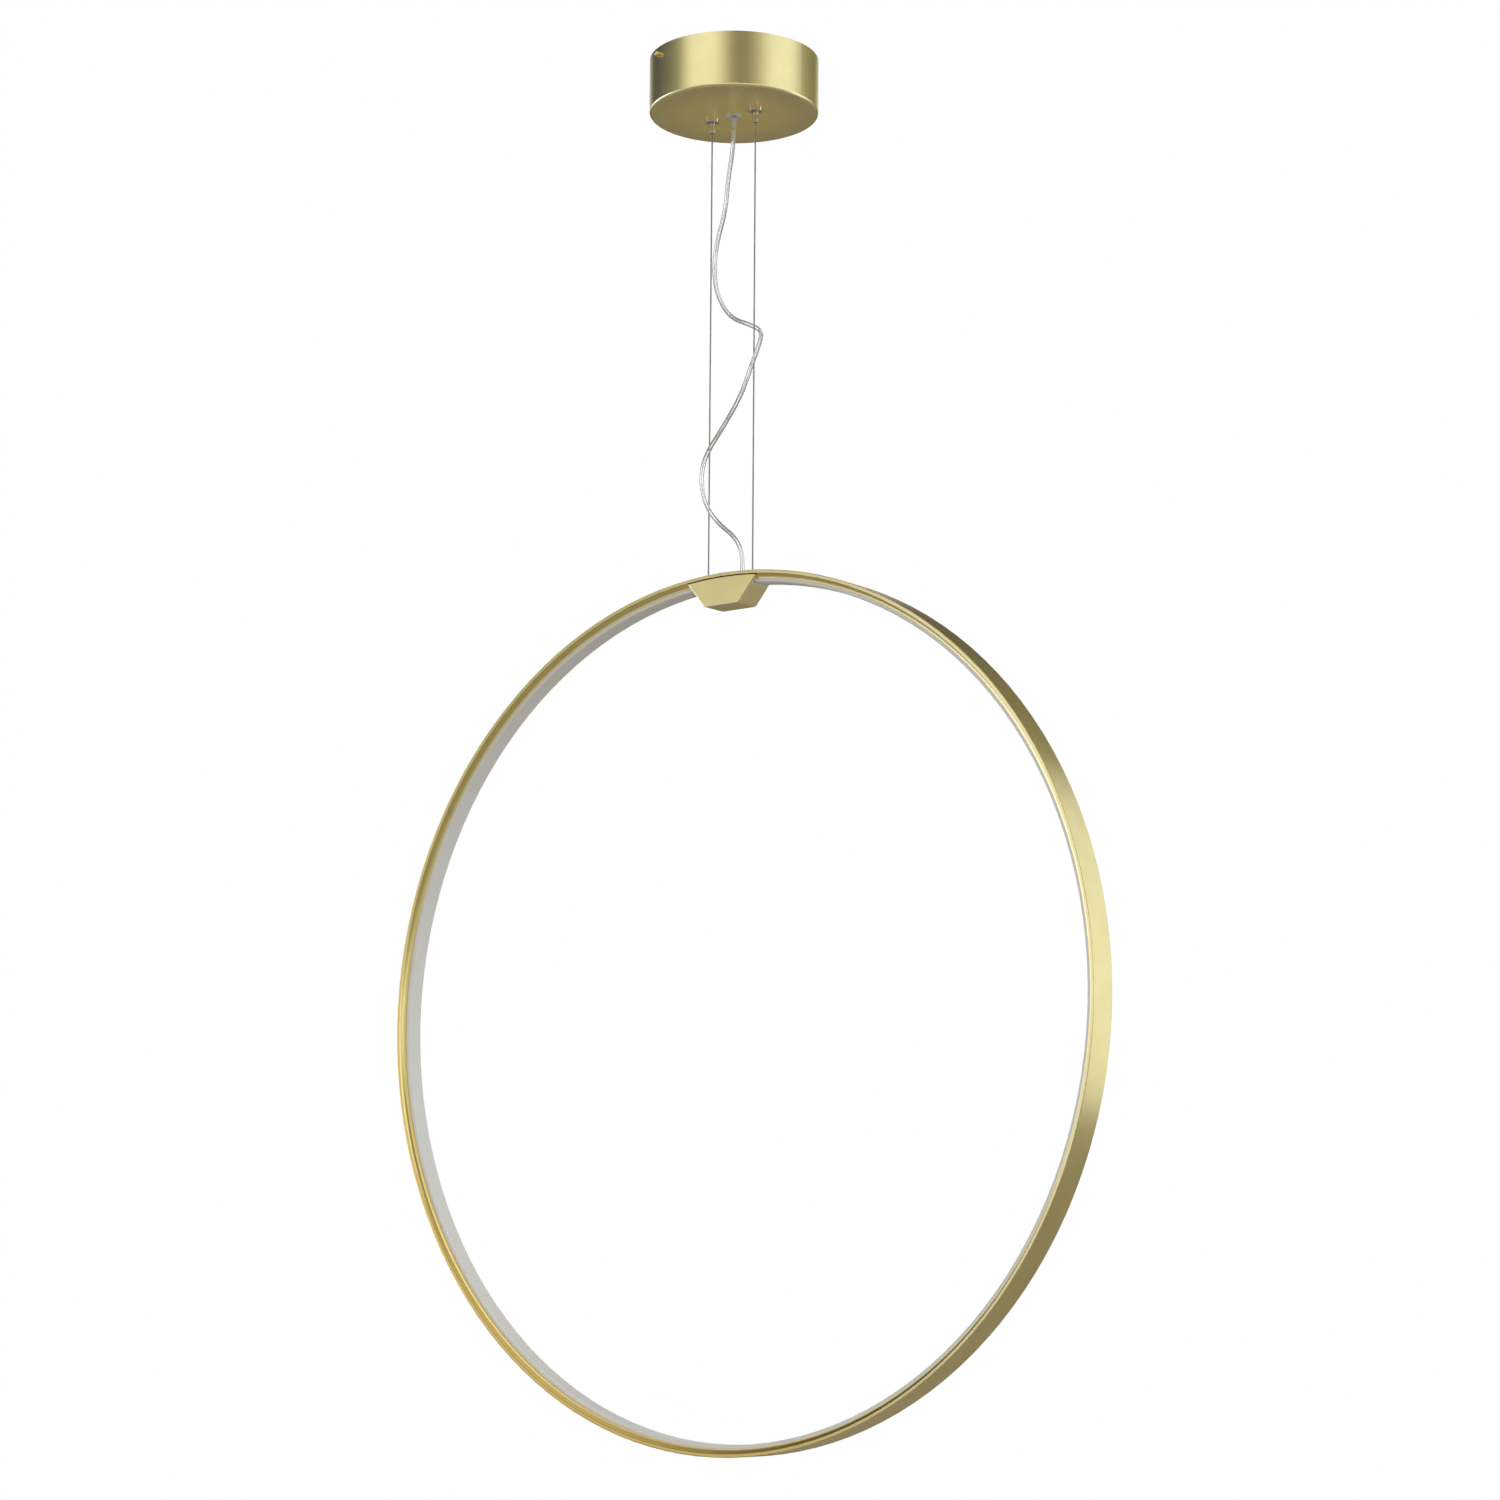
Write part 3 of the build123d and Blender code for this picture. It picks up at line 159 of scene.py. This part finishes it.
# Soft light panels round the object: turn from the front view's line of sight towards its right and height
# above the horizon, both in degrees, their reach in each, and colour. Below 0 they are dark flags.
PANELS = [
    ((-44, 29), (32, 13), (1.24, 1.34, 1.66)),
    ((-64, 6), (18, 7), (0.84, 0.75, 0.60)),
    ((-112, -3), (31, 15), (1.75, 1.98, 2.95)),
    ((69, 18), (34, 26), (0.87, 0.95, 1.22)),
    ((2, 4), (40, 11), (1.15, 1.11, 1.10)),
    ((-105, -46), (55, 22), (1.30, 1.30, 1.35)),
    ((0, 90), (1000, 44), (0.46, 0.44, 0.50)),
    ((180, 14), (31, 7.5), (1.60, 1.60, 1.60)),
    ((-150, 15), (70, 55), (-0.25, -0.25, -0.155)),
    ((9, 21), (17, 12), (-0.28, -0.275, -0.17)),
]
PANEL_FADE = (1.3, 0.4)
UPPER_GLOW = (0.28, 0.275, 0.18)
LOWER_GLOW = (0.365, 0.345, 0.215)
GLOW_CHANGE = (radians(-16), radians(4))

# A near panel beside the ring's right side
SIDE_PANEL_TURN = radians(110)
SIDE_PANEL_DISTANCE = 1.25
SIDE_PANEL_HEIGHT = -0.55
SIDE_PANEL_SIZE = (0.9, 1.45)
SIDE_PANEL_POWER = 4.2
SIDE_PANEL_COLOUR = (0.69, 0.77, 1.0)


def make_camera():
    forward = Vector((-sin(CAMERA_AZIMUTH) * cos(CAMERA_PITCH), cos(CAMERA_AZIMUTH) * cos(CAMERA_PITCH),
                      sin(CAMERA_PITCH)))
    level = Vector((cos(CAMERA_AZIMUTH), sin(CAMERA_AZIMUTH), 0.0))
    upright = level.cross(forward)
    right = level * cos(CAMERA_ROLL) + upright * sin(CAMERA_ROLL)
    up = upright * cos(CAMERA_ROLL) - level * sin(CAMERA_ROLL)
    data = bpy.data.cameras.new("camera")
    data.lens = CAMERA_LENS
    data.sensor_width = CAMERA_SENSOR
    data.shift_x, data.shift_y = CAMERA_SHIFT
    data.clip_end = CAMERA_REACH
    camera = bpy.data.objects.new("camera", data)
    turn = Matrix((right, up, -forward)).transposed()
    camera.matrix_world = Matrix.Translation(CAMERA_PLACE) @ turn.to_4x4()
    bpy.context.scene.collection.objects.link(camera)
    bpy.context.scene.camera = camera


# Mesh helpers

def smooth_line(route, resolution):
    """Points along a route, read from its NURBS spline."""
    curve = bpy.data.curves.new("route", "CURVE")
    curve.dimensions = "3D"
    curve.resolution_u = resolution
    spline = curve.splines.new("NURBS")
    spline.points.add(len(route) - 1)
    for place, point in zip(spline.points, route):
        place.co = (*point, 1.0)
    spline.order_u = 3
    spline.use_endpoint_u = True
    spline.resolution_u = resolution
    holder = bpy.data.objects.new("route", curve)
    mesh = bpy.data.meshes.new_from_object(holder)
    line = [vertex.co.copy() for vertex in mesh.vertices]
    bpy.data.objects.remove(holder)
    bpy.data.curves.remove(curve)
    bpy.data.meshes.remove(mesh)
    return line


def side_axes(line):
    """Two directions across an upright line at each of its points, carried along without twist from X."""
    steps = [(b - a).normalized() for a, b in zip(line, line[1:])]
    along = [steps[0]] + [(a + b).normalized() for a, b in zip(steps, steps[1:])] + [steps[-1]]
    across = Vector((1.0, 0.0, 0.0))
    axes = []
    for direction in along:
        across = (across - direction * across.dot(direction)).normalized()
        axes.append((across, direction.cross(across)))
    return axes


def wound(line, radius, lay, phase):
    """A line wound round another, one turn per lay."""
    points = []
    run = 0.0
    last = line[0]
    for place, (across, other) in zip(line, side_axes(line)):
        run += (place - last).length
        last = place
        angle = 2 * pi * run / lay + phase
        points.append(place + (across * cos(angle) + other * sin(angle)) * radius)
    return points


def add_tube(mesh, line, radius, sides, closed=(True, True)):
    """Adds a round tube along a line, with or without its two ends."""
    turns = [2 * pi * number / sides for number in range(sides)]
    rings = []
    for place, (across, other) in zip(line, side_axes(line)):
        rings.append([mesh.verts.new(place + (across * cos(a) + other * sin(a)) * radius) for a in turns])
    for first, second in zip(rings, rings[1:]):
        for i in range(sides):
            j = (i + 1) % sides
            mesh.faces.new((first[i], first[j], second[j], second[i])).smooth = True
    if closed[0]:
        mesh.faces.new(rings[0][::-1])
    if closed[1]:
        mesh.faces.new(rings[-1])


def new_piece(name, mesh, material):
    """A piece of the scene from a bmesh, which is freed."""
    data = bpy.data.meshes.new(name)
    mesh.to_mesh(data)
    mesh.free()
    data.materials.append(material)
    piece = bpy.data.objects.new(name, data)
    bpy.context.scene.collection.objects.link(piece)
    return piece


# Shader helpers

def node(tree, kind, *inputs, **settings):
    """A shader node: its settings are set first, then its inputs in order, as links or as values."""
    made = tree.nodes.new("ShaderNode" + kind)
    for name, value in settings.items():
        setattr(made, name, value)
    for socket, value in zip(made.inputs, inputs):
        if isinstance(value, bpy.types.NodeSocket):
            tree.links.new(value, socket)
        elif value is not None:
            socket.default_value = value
    return made


def math_node(tree, operation, *inputs):
    return node(tree, "Math", *inputs, operation=operation).outputs[0]


def vector_node(tree, operation, *inputs):
    made = node(tree, "VectorMath", *inputs, operation=operation)
    return made.outputs["Value"] if operation in ("DOT_PRODUCT", "LENGTH") else made.outputs["Vector"]


def new_material(name, **sockets):
    """A material with a Principled shader, and its tree and shader."""
    material = bpy.data.materials.new(name)
    material.use_nodes = True
    tree = material.node_tree
    shader = tree.nodes["Principled BSDF"]
    for socket, value in sockets.items():
        shader.inputs[socket.replace("_", " ")].default_value = value
    return material, tree, shader


def object_place(tree):
    return node(tree, "TexCoord").outputs["Object"]


def object_axes(tree, middle):
    """The object's three coordinates, measured from a middle point."""
    return node(tree, "SeparateXYZ", vector_node(tree, "SUBTRACT", object_place(tree), middle)).outputs


def radius_of(tree, first, second):
    """The distance from an axis, by the two coordinates across it."""
    return vector_node(tree, "LENGTH", node(tree, "CombineXYZ", first, second, 0.0).outputs[0])


def noise(tree, place, scale, detail=2.0):
    return node(tree, "TexNoise", place, None, scale, detail).outputs["Fac"]


def spread(tree, value, low, high, start=0.3, end=0.7):
    """Maps a noise's middle range to another range of values."""
    return node(tree, "MapRange", value, start, end, low, high).outputs["Result"]


def ramp(tree, value, start, end, shape="SMOOTHSTEP"):
    """0 where a value is at the start of a range, 1 where it is at its end."""
    return node(tree, "MapRange", value, start, end, 0.0, 1.0, interpolation_type=shape).outputs["Result"]


def tinted(tree, value, first, second):
    """A colour between two, which are links or colours, by a value from 0 to 1."""
    mix = node(tree, "Mix", value, data_type="RGBA")
    for number, colour in ((MIX_FIRST, first), (MIX_SECOND, second)):
        if isinstance(colour, bpy.types.NodeSocket):
            tree.links.new(colour, mix.inputs[number])
        else:
            mix.inputs[number].default_value = (*colour, 1.0)
    return mix.outputs[MIX_RESULT]


def bumped(tree, shader, height, distance):
    bump = node(tree, "Bump")
    bump.inputs["Distance"].default_value = distance
    tree.links.new(height, bump.inputs["Height"])
    tree.links.new(bump.outputs["Normal"], shader.inputs["Normal"])


def varied(colour, share):
    """A darker and a lighter shade of a colour."""
    return [tuple(channel * factor for channel in colour) for factor in (1 - share, 1 + share)]


def plain_finish(name, colour, roughness, grain, depth=0.00001, contrast=0.06, **sockets):
    """A moulded or painted surface: fine grain, slight unevenness of colour and gloss."""
    material, tree, shader = new_material(name, **sockets)
    place = object_place(tree)
    fine = noise(tree, place, grain, 3.0)
    broad = spread(tree, noise(tree, place, grain / PLAIN_PATCH_GRAINS), 0.0, 1.0)
    tree.links.new(tinted(tree, broad, *varied(colour, contrast)), shader.inputs["Base Color"])
    gloss = spread(tree, fine, roughness * (1 - PLAIN_GLOSS), roughness * (1 + PLAIN_GLOSS))
    tree.links.new(gloss, shader.inputs["Roughness"])
    bumped(tree, shader, fine, depth)
    return material


def brushed_place(tree, middle, axis):
    """Coordinates that run round an axis, long along the turn and fine across it."""
    x, y, z = object_axes(tree, middle)
    first, second, along = (x, y, z) if axis == "Z" else (x, z, y)
    turn = math_node(tree, "MULTIPLY", math_node(tree, "ARCTAN2", second, first), BRUSH_ROUND)
    radius = math_node(tree, "MULTIPLY", radius_of(tree, first, second), BRUSH_ACROSS)
    height = math_node(tree, "MULTIPLY", along, BRUSH_ACROSS)
    return node(tree, "CombineXYZ", turn, radius, height).outputs[0]


def canopy_place(tree):
    """Coordinates for brushing round the canopy."""
    return brushed_place(tree, CANOPY_MIDDLE, "Z")


def ring_place(tree):
    """Coordinates for brushing round the ring."""
    return brushed_place(tree, RING_CENTRE, "Y")


def linear_place(tree):
    """Coordinates for brushing along X."""
    return vector_node(tree, "MULTIPLY", object_place(tree), (BRUSH_ALONG, BRUSH_ACROSS, BRUSH_ACROSS))


def satin_metal(name, colour, roughness, place=linear_place, depth=0.000001, **sockets):
    """A brushed and lacquered metal; place gives its brushing's coordinates."""
    material, tree, shader = new_material(name, Metallic=1.0, **sockets)
    streaks = noise(tree, place(tree), 1.0, 3.0)
    broad = spread(tree, noise(tree, object_place(tree), SATIN_PATCHES), 0.0, 1.0)
    tree.links.new(tinted(tree, broad, *varied(colour, SATIN_TINT)), shader.inputs["Base Color"])
    gloss = spread(tree, streaks, roughness * (1 - SATIN_GLOSS), roughness * (1 + SATIN_GLOSS))
    tree.links.new(gloss, shader.inputs["Roughness"])
    bumped(tree, shader, streaks, depth)
    return material


def recoloured(material, value, colour):
    """Changes a material's colour to another where a value is 1."""
    tree = material.node_tree
    base = tree.nodes["Principled BSDF"].inputs["Base Color"]
    tree.links.new(tinted(tree, value, base.links[0].from_socket, colour), base)


# Painted light and shade on the brass: highlights, a warm reflection, warm light and a shadow that set one
# place apart from the rest

def paint_warm_reflection(material):
    """A painted warm reflection: a brighter, warmer tone on the canopy's underside, fading out from its
    middle.
    """
    tree = material.node_tree
    x, y, z = object_axes(tree, CANOPY_MIDDLE)
    inner = ramp(tree, radius_of(tree, x, y), *WARM_REFLECTION_RADII)
    under = math_node(tree, "LESS_THAN", z, CANOPY_UNDERSIDE)
    recoloured(material, math_node(tree, "MULTIPLY", inner, under), WARM_REFLECTION_BRASS)


def paint_rim_highlight(material):
    """A painted highlight: a pale line along the canopy's lower edge, where light catches its rounded rim.
    """
    tree = material.node_tree
    x, y, z = object_axes(tree, CANOPY_MIDDLE)
    outer = ramp(tree, radius_of(tree, x, y), *RIM_HIGHLIGHT_RADII, "LINEAR")
    low = ramp(tree, z, *RIM_HIGHLIGHT_HEIGHTS, "LINEAR")
    recoloured(material, math_node(tree, "MULTIPLY", outer, low), RIM_HIGHLIGHT_BRASS)


def paint_warm_light(material):
    """Painted warm light: the ring's colour is a shade warmer towards its lower left, where warm light falls
    on it.
    """
    tree = material.node_tree
    away = vector_node(tree, "SUBTRACT", object_place(tree), RING_CENTRE)
    lower_left = vector_node(tree, "DOT_PRODUCT", away, WARM_LIGHT_SIDE)
    recoloured(material, ramp(tree, lower_left, *WARM_LIGHT_RANGE), WARM_LIGHT_RING)


def paint_edge_highlights(material):
    """Painted highlights: brightens the hub's edges, where light catches their rounding."""
    tree = material.node_tree
    soft = node(tree, "Bevel", EDGE_HIGHLIGHT_WIDTH, samples=EDGE_HIGHLIGHT_SAMPLES).outputs[0]
    facing = vector_node(tree, "DOT_PRODUCT", soft, node(tree, "NewGeometry").outputs["Normal"])
    recoloured(material, ramp(tree, facing, *EDGE_HIGHLIGHT_RANGE), EDGE_HIGHLIGHT_BRASS)


def paint_joint_shadow(material):
    """Painted shadow: darkens the hub along its joint under the ring's front and back bands, where shade
    falls in the gap.
    """
    tree = material.node_tree
    x, _, z = object_axes(tree, RING_CENTRE)
    recoloured(material, ramp(tree, radius_of(tree, x, z), *JOINT_SHADOW_RADII), JOINT_SHADOW_BROWN)


# Finishes

def make_finishes():
    """The scene's finishes by name."""
    made = {}
    made["canopy_brass"] = satin_metal("canopy_brass", BRASS, 0.286, canopy_place)
    # A painted warm reflection on the canopy's underside
    paint_warm_reflection(made["canopy_brass"])
    # A painted highlight along the canopy's rim
    paint_rim_highlight(made["canopy_brass"])
    made["ring_brass"] = satin_metal("ring_brass", RING_BRASS, 0.286, ring_place)
    # Painted warm light on the ring's lower left
    paint_warm_light(made["ring_brass"])
    made["hub_brass"] = satin_metal("hub_brass", HUB_BRASS, 0.30)
    # Painted highlights on the hub's edges
    paint_edge_highlights(made["hub_brass"])
    # A painted shadow along the hub's joint with the ring
    paint_joint_shadow(made["hub_brass"])
    made["knob_brass"] = satin_metal("knob_brass", (0.86, 0.70, 0.30), 0.16)
    made["chrome"] = satin_metal("chrome", (0.82, 0.81, 0.79), 0.05, depth=0.0000003,
                                 Specular_Tint=(0.12, 0.12, 0.12, 1.0))
    made["steel"] = satin_metal("steel", (0.56, 0.56, 0.54), 0.34)
    made["zinc"] = plain_finish("zinc", (0.60, 0.61, 0.62), 0.38, 420.0, contrast=0.14, Metallic=1.0)
    made["rope_steel"] = satin_metal("rope_steel", (0.40, 0.38, 0.34), 0.30)
    made["opal"] = plain_finish("opal", (0.86, 0.835, 0.775), 0.42, 900.0, depth=0.0000005, contrast=0.012)
    made["white_plastic"] = plain_finish("white_plastic", (0.78, 0.78, 0.76), 0.45, 1800.0)
    made["grey_plastic"] = plain_finish("grey_plastic", (0.76, 0.75, 0.70), 0.42, 1800.0)
    made["tinned_core"] = satin_metal("tinned_core", (0.88, 0.87, 0.85), 0.35)
    made["strip_white"] = plain_finish("strip_white", (0.82, 0.82, 0.80), 0.38, 900.0)
    made["chip_yellow"] = plain_finish("chip_yellow", (0.78, 0.62, 0.10), 0.30, 1500.0)
    made["foam"] = plain_finish("foam", (0.09, 0.09, 0.095), 0.85, 700.0, depth=0.0002, contrast=0.2)
    made["clear_cable"] = plain_finish("clear_cable", (0.95, 0.96, 0.95), 0.03, 700.0, depth=0.0000002,
                                       contrast=0.01, Transmission_Weight=0.8, IOR=1.38)
    return made


NODE_FINISHES = {
    "canopy_brass": ["canopy"],
    "ring_brass": ["ring_profile"],
    "hub_brass": ["hub_body", "hub_cover"],
    "knob_brass": ["canopy_screws", "wire_eyelets", "hub_cover_screws", "splice_screws"],
    "chrome": ["gripper_left", "gripper_right", "release_plunger_left", "release_plunger_right",
               "wire_stop_left", "wire_stop_right", "gripper_balls"],
    "steel": ["gripper_nuts", "ball_followers", "gripper_springs", "block_screws", "earth_screw",
              "hub_screws"],
    "zinc": ["ceiling_bracket", "ring_splice"],
    "rope_steel": ["wire_tail_left", "wire_tail_right"],
    "opal": ["diffuser"],
    "white_plastic": ["led_driver", "output_block", "supply_block", "output_lead", "supply_lead",
                      "led_connector", "led_leads"],
    "grey_plastic": ["cable_gland", "gland_nut", "cable_grommet"],
    "strip_white": ["led_strip"],
    "chip_yellow": ["led_chips"],
    "foam": ["driver_pad"],
    "clear_cable": ["cable_lower_end"],
}


def dress_nodes(finishes):
    for finish, names in NODE_FINISHES.items():
        for name in names:
            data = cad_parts[name].data
            data.materials.clear()
            data.materials.append(finishes[finish])


# Cords

def shortens(piece):
    """A hanging cord shortens towards the grippers as the ring is raised."""
    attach(piece, "suspension")
    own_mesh(piece)


def add_wire(name, x, finishes):
    """A twisted steel wire, three strands across."""
    middle = (PIVOT_HEIGHT + WIRE_END) / 2
    line = smooth_line([(x, 0, PIVOT_HEIGHT), (x, 0, middle), (x, 0, WIRE_END)], WIRE_STEPS)
    strand = WIRE_DIAMETER / 6
    mesh = bmesh.new()
    add_tube(mesh, line[::WIRE_CORE_STEP] + [line[-1]], strand, STRAND_SIDES)
    for number in range(STRAND_COUNT):
        laid = wound(line, 2 * strand, STRAND_LAY, 2 * pi * number / STRAND_COUNT)
        add_tube(mesh, laid, strand, STRAND_SIDES)
    piece = new_piece(name + "_rope", mesh, finishes["rope_steel"])
    shortens(piece)
    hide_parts(name)


def cable_cores(name, line, finishes):
    """The two tinned cores that twist round each other inside the clear sheath."""
    mesh = bmesh.new()
    for phase in (0.0, pi):
        add_tube(mesh, wound(line, CORE_DIAMETER, CORE_LAY, phase), CORE_DIAMETER / 2, CORE_SIDES)
    piece = new_piece(name, mesh, finishes["tinned_core"])
    return piece


def cable_sheath(name, line, finishes):
    """The clear sheath, open at the pivot, where the slack cable and its held end meet."""
    mesh = bmesh.new()
    add_tube(mesh, line, CABLE_DIAMETER / 2, CABLE_SIDES, (False, True))
    piece = new_piece(name, mesh, finishes["clear_cable"])
    return piece


def add_cable(finishes):
    """The slack cable and the end of it that is held in the gland."""
    line = smooth_line(CABLE_ROUTE, CABLE_STEPS)
    sheath = cable_sheath("power_cable_sheath", line, finishes)
    cores = cable_cores("power_cable_cores", line, finishes)
    for piece in (sheath, cores):
        shortens(piece)
    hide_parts("power_cable")
    inlet = smooth_line(CABLE_INLET, CABLE_STEPS)
    held = cable_sheath("cable_inlet_sheath", inlet, finishes)
    held_cores = cable_cores("cable_inlet_cores", inlet, finishes)
    for piece in (held, held_cores):
        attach(piece, "ceiling_unit")
    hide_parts("cable_upper_end")


# Stage and light

def make_floor():
    """A plain floor, pale in direct view, that fades out towards its edge and is clear from below."""
    mesh = bmesh.new()
    bmesh.ops.create_circle(mesh, cap_ends=True, segments=FLOOR_SEGMENTS, radius=FLOOR_RADIUS)
    material, tree, shader = new_material("floor", Roughness=FLOOR_ROUGHNESS, Emission_Color=FLOOR_PALE_TONE)
    place = object_place(tree)
    tone = spread(tree, noise(tree, place, FLOOR_PATCHES), 0.0, 1.0)
    tree.links.new(tinted(tree, tone, *FLOOR_TONES), shader.inputs["Base Color"])
    seen = math_node(tree, "MULTIPLY", node(tree, "LightPath").outputs["Is Camera Ray"], FLOOR_PALER)
    recoloured(material, seen, WHITE)
    tree.links.new(seen, shader.inputs["Emission Strength"])
    far = ramp(tree, vector_node(tree, "LENGTH", place), *FLOOR_FADE)
    clear = math_node(tree, "MAXIMUM", far, node(tree, "NewGeometry").outputs["Backfacing"])
    mixed = node(tree, "MixShader", clear, shader.outputs[0], node(tree, "BsdfTransparent").outputs[0])
    tree.links.new(mixed.outputs[0], tree.nodes["Material Output"].inputs["Surface"])
    floor = new_piece("floor", mesh, material)
    floor.location = (0, 0, FLOOR_HEIGHT)


def panel_edge(tree, away, reach):
    """A panel's soft edge: full in its middle, nothing past its reach."""
    distance = math_node(tree, "ABSOLUTE", math_node(tree, "DIVIDE", away, radians(reach)))
    return ramp(tree, distance, *PANEL_FADE)


def make_world():
    """A studio of soft panels in a dim warm glow, which looks white to the camera."""
    world = bpy.data.worlds.new("studio")
    world.use_nodes = True
    bpy.context.scene.world = world
    tree = world.node_tree
    tree.nodes.clear()
    sight = node(tree, "TexCoord").outputs["Generated"]
    front = (sin(CAMERA_AZIMUTH), -cos(CAMERA_AZIMUTH), 0.0)
    right = (cos(CAMERA_AZIMUTH), sin(CAMERA_AZIMUTH), 0.0)
    turn = math_node(tree, "ARCTAN2", vector_node(tree, "DOT_PRODUCT", sight, right),
                     vector_node(tree, "DOT_PRODUCT", sight, front))
    height = math_node(tree, "ARCSINE", node(tree, "SeparateXYZ", sight).outputs["Z"])
    light = tinted(tree, ramp(tree, height, *GLOW_CHANGE), LOWER_GLOW, UPPER_GLOW)
    for (at_turn, at_height), (wide, high), colour in PANELS:
        across = math_node(tree, "WRAP", math_node(tree, "SUBTRACT", turn, radians(at_turn)), pi, -pi)
        above = math_node(tree, "SUBTRACT", height, radians(at_height))
        inside = math_node(tree, "MULTIPLY", panel_edge(tree, across, wide), panel_edge(tree, above, high))
        light = vector_node(tree, "MULTIPLY_ADD", inside, colour, light)
    seen = node(tree, "LightPath").outputs["Is Camera Ray"]
    lit = node(tree, "Background", light, 1.0).outputs[0]
    white = node(tree, "Background", (*WHITE, 1.0), 1.0).outputs[0]
    mixed = node(tree, "MixShader", seen, lit, white).outputs[0]
    node(tree, "OutputWorld", mixed)


def make_side_light():
    """A near soft panel that lights the outer face of the ring's right side."""
    data = bpy.data.lights.new("side_panel", "AREA")
    data.shape = "RECTANGLE"
    data.size, data.size_y = SIDE_PANEL_SIZE
    data.energy = SIDE_PANEL_POWER
    data.color = SIDE_PANEL_COLOUR
    panel = bpy.data.objects.new("side_panel", data)
    turn = CAMERA_AZIMUTH + SIDE_PANEL_TURN
    away = Vector((sin(turn), -cos(turn), 0.0))
    right_end = Vector((RING_CENTRE[0] + RING_RADIUS, RING_CENTRE[1], SIDE_PANEL_HEIGHT))
    panel.location = right_end + away * SIDE_PANEL_DISTANCE
    panel.rotation_euler = away.to_track_quat("Z", "Y").to_euler()
    panel.visible_camera = False
    bpy.context.scene.collection.objects.link(panel)


make_camera()
finishes = make_finishes()
dress_nodes(finishes)
add_wire("wire_left", -WIRE_X, finishes)
add_wire("wire_right", WIRE_X, finishes)
add_cable(finishes)
make_floor()
make_world()
make_side_light()
bpy.context.scene.view_settings.view_transform = "Standard"
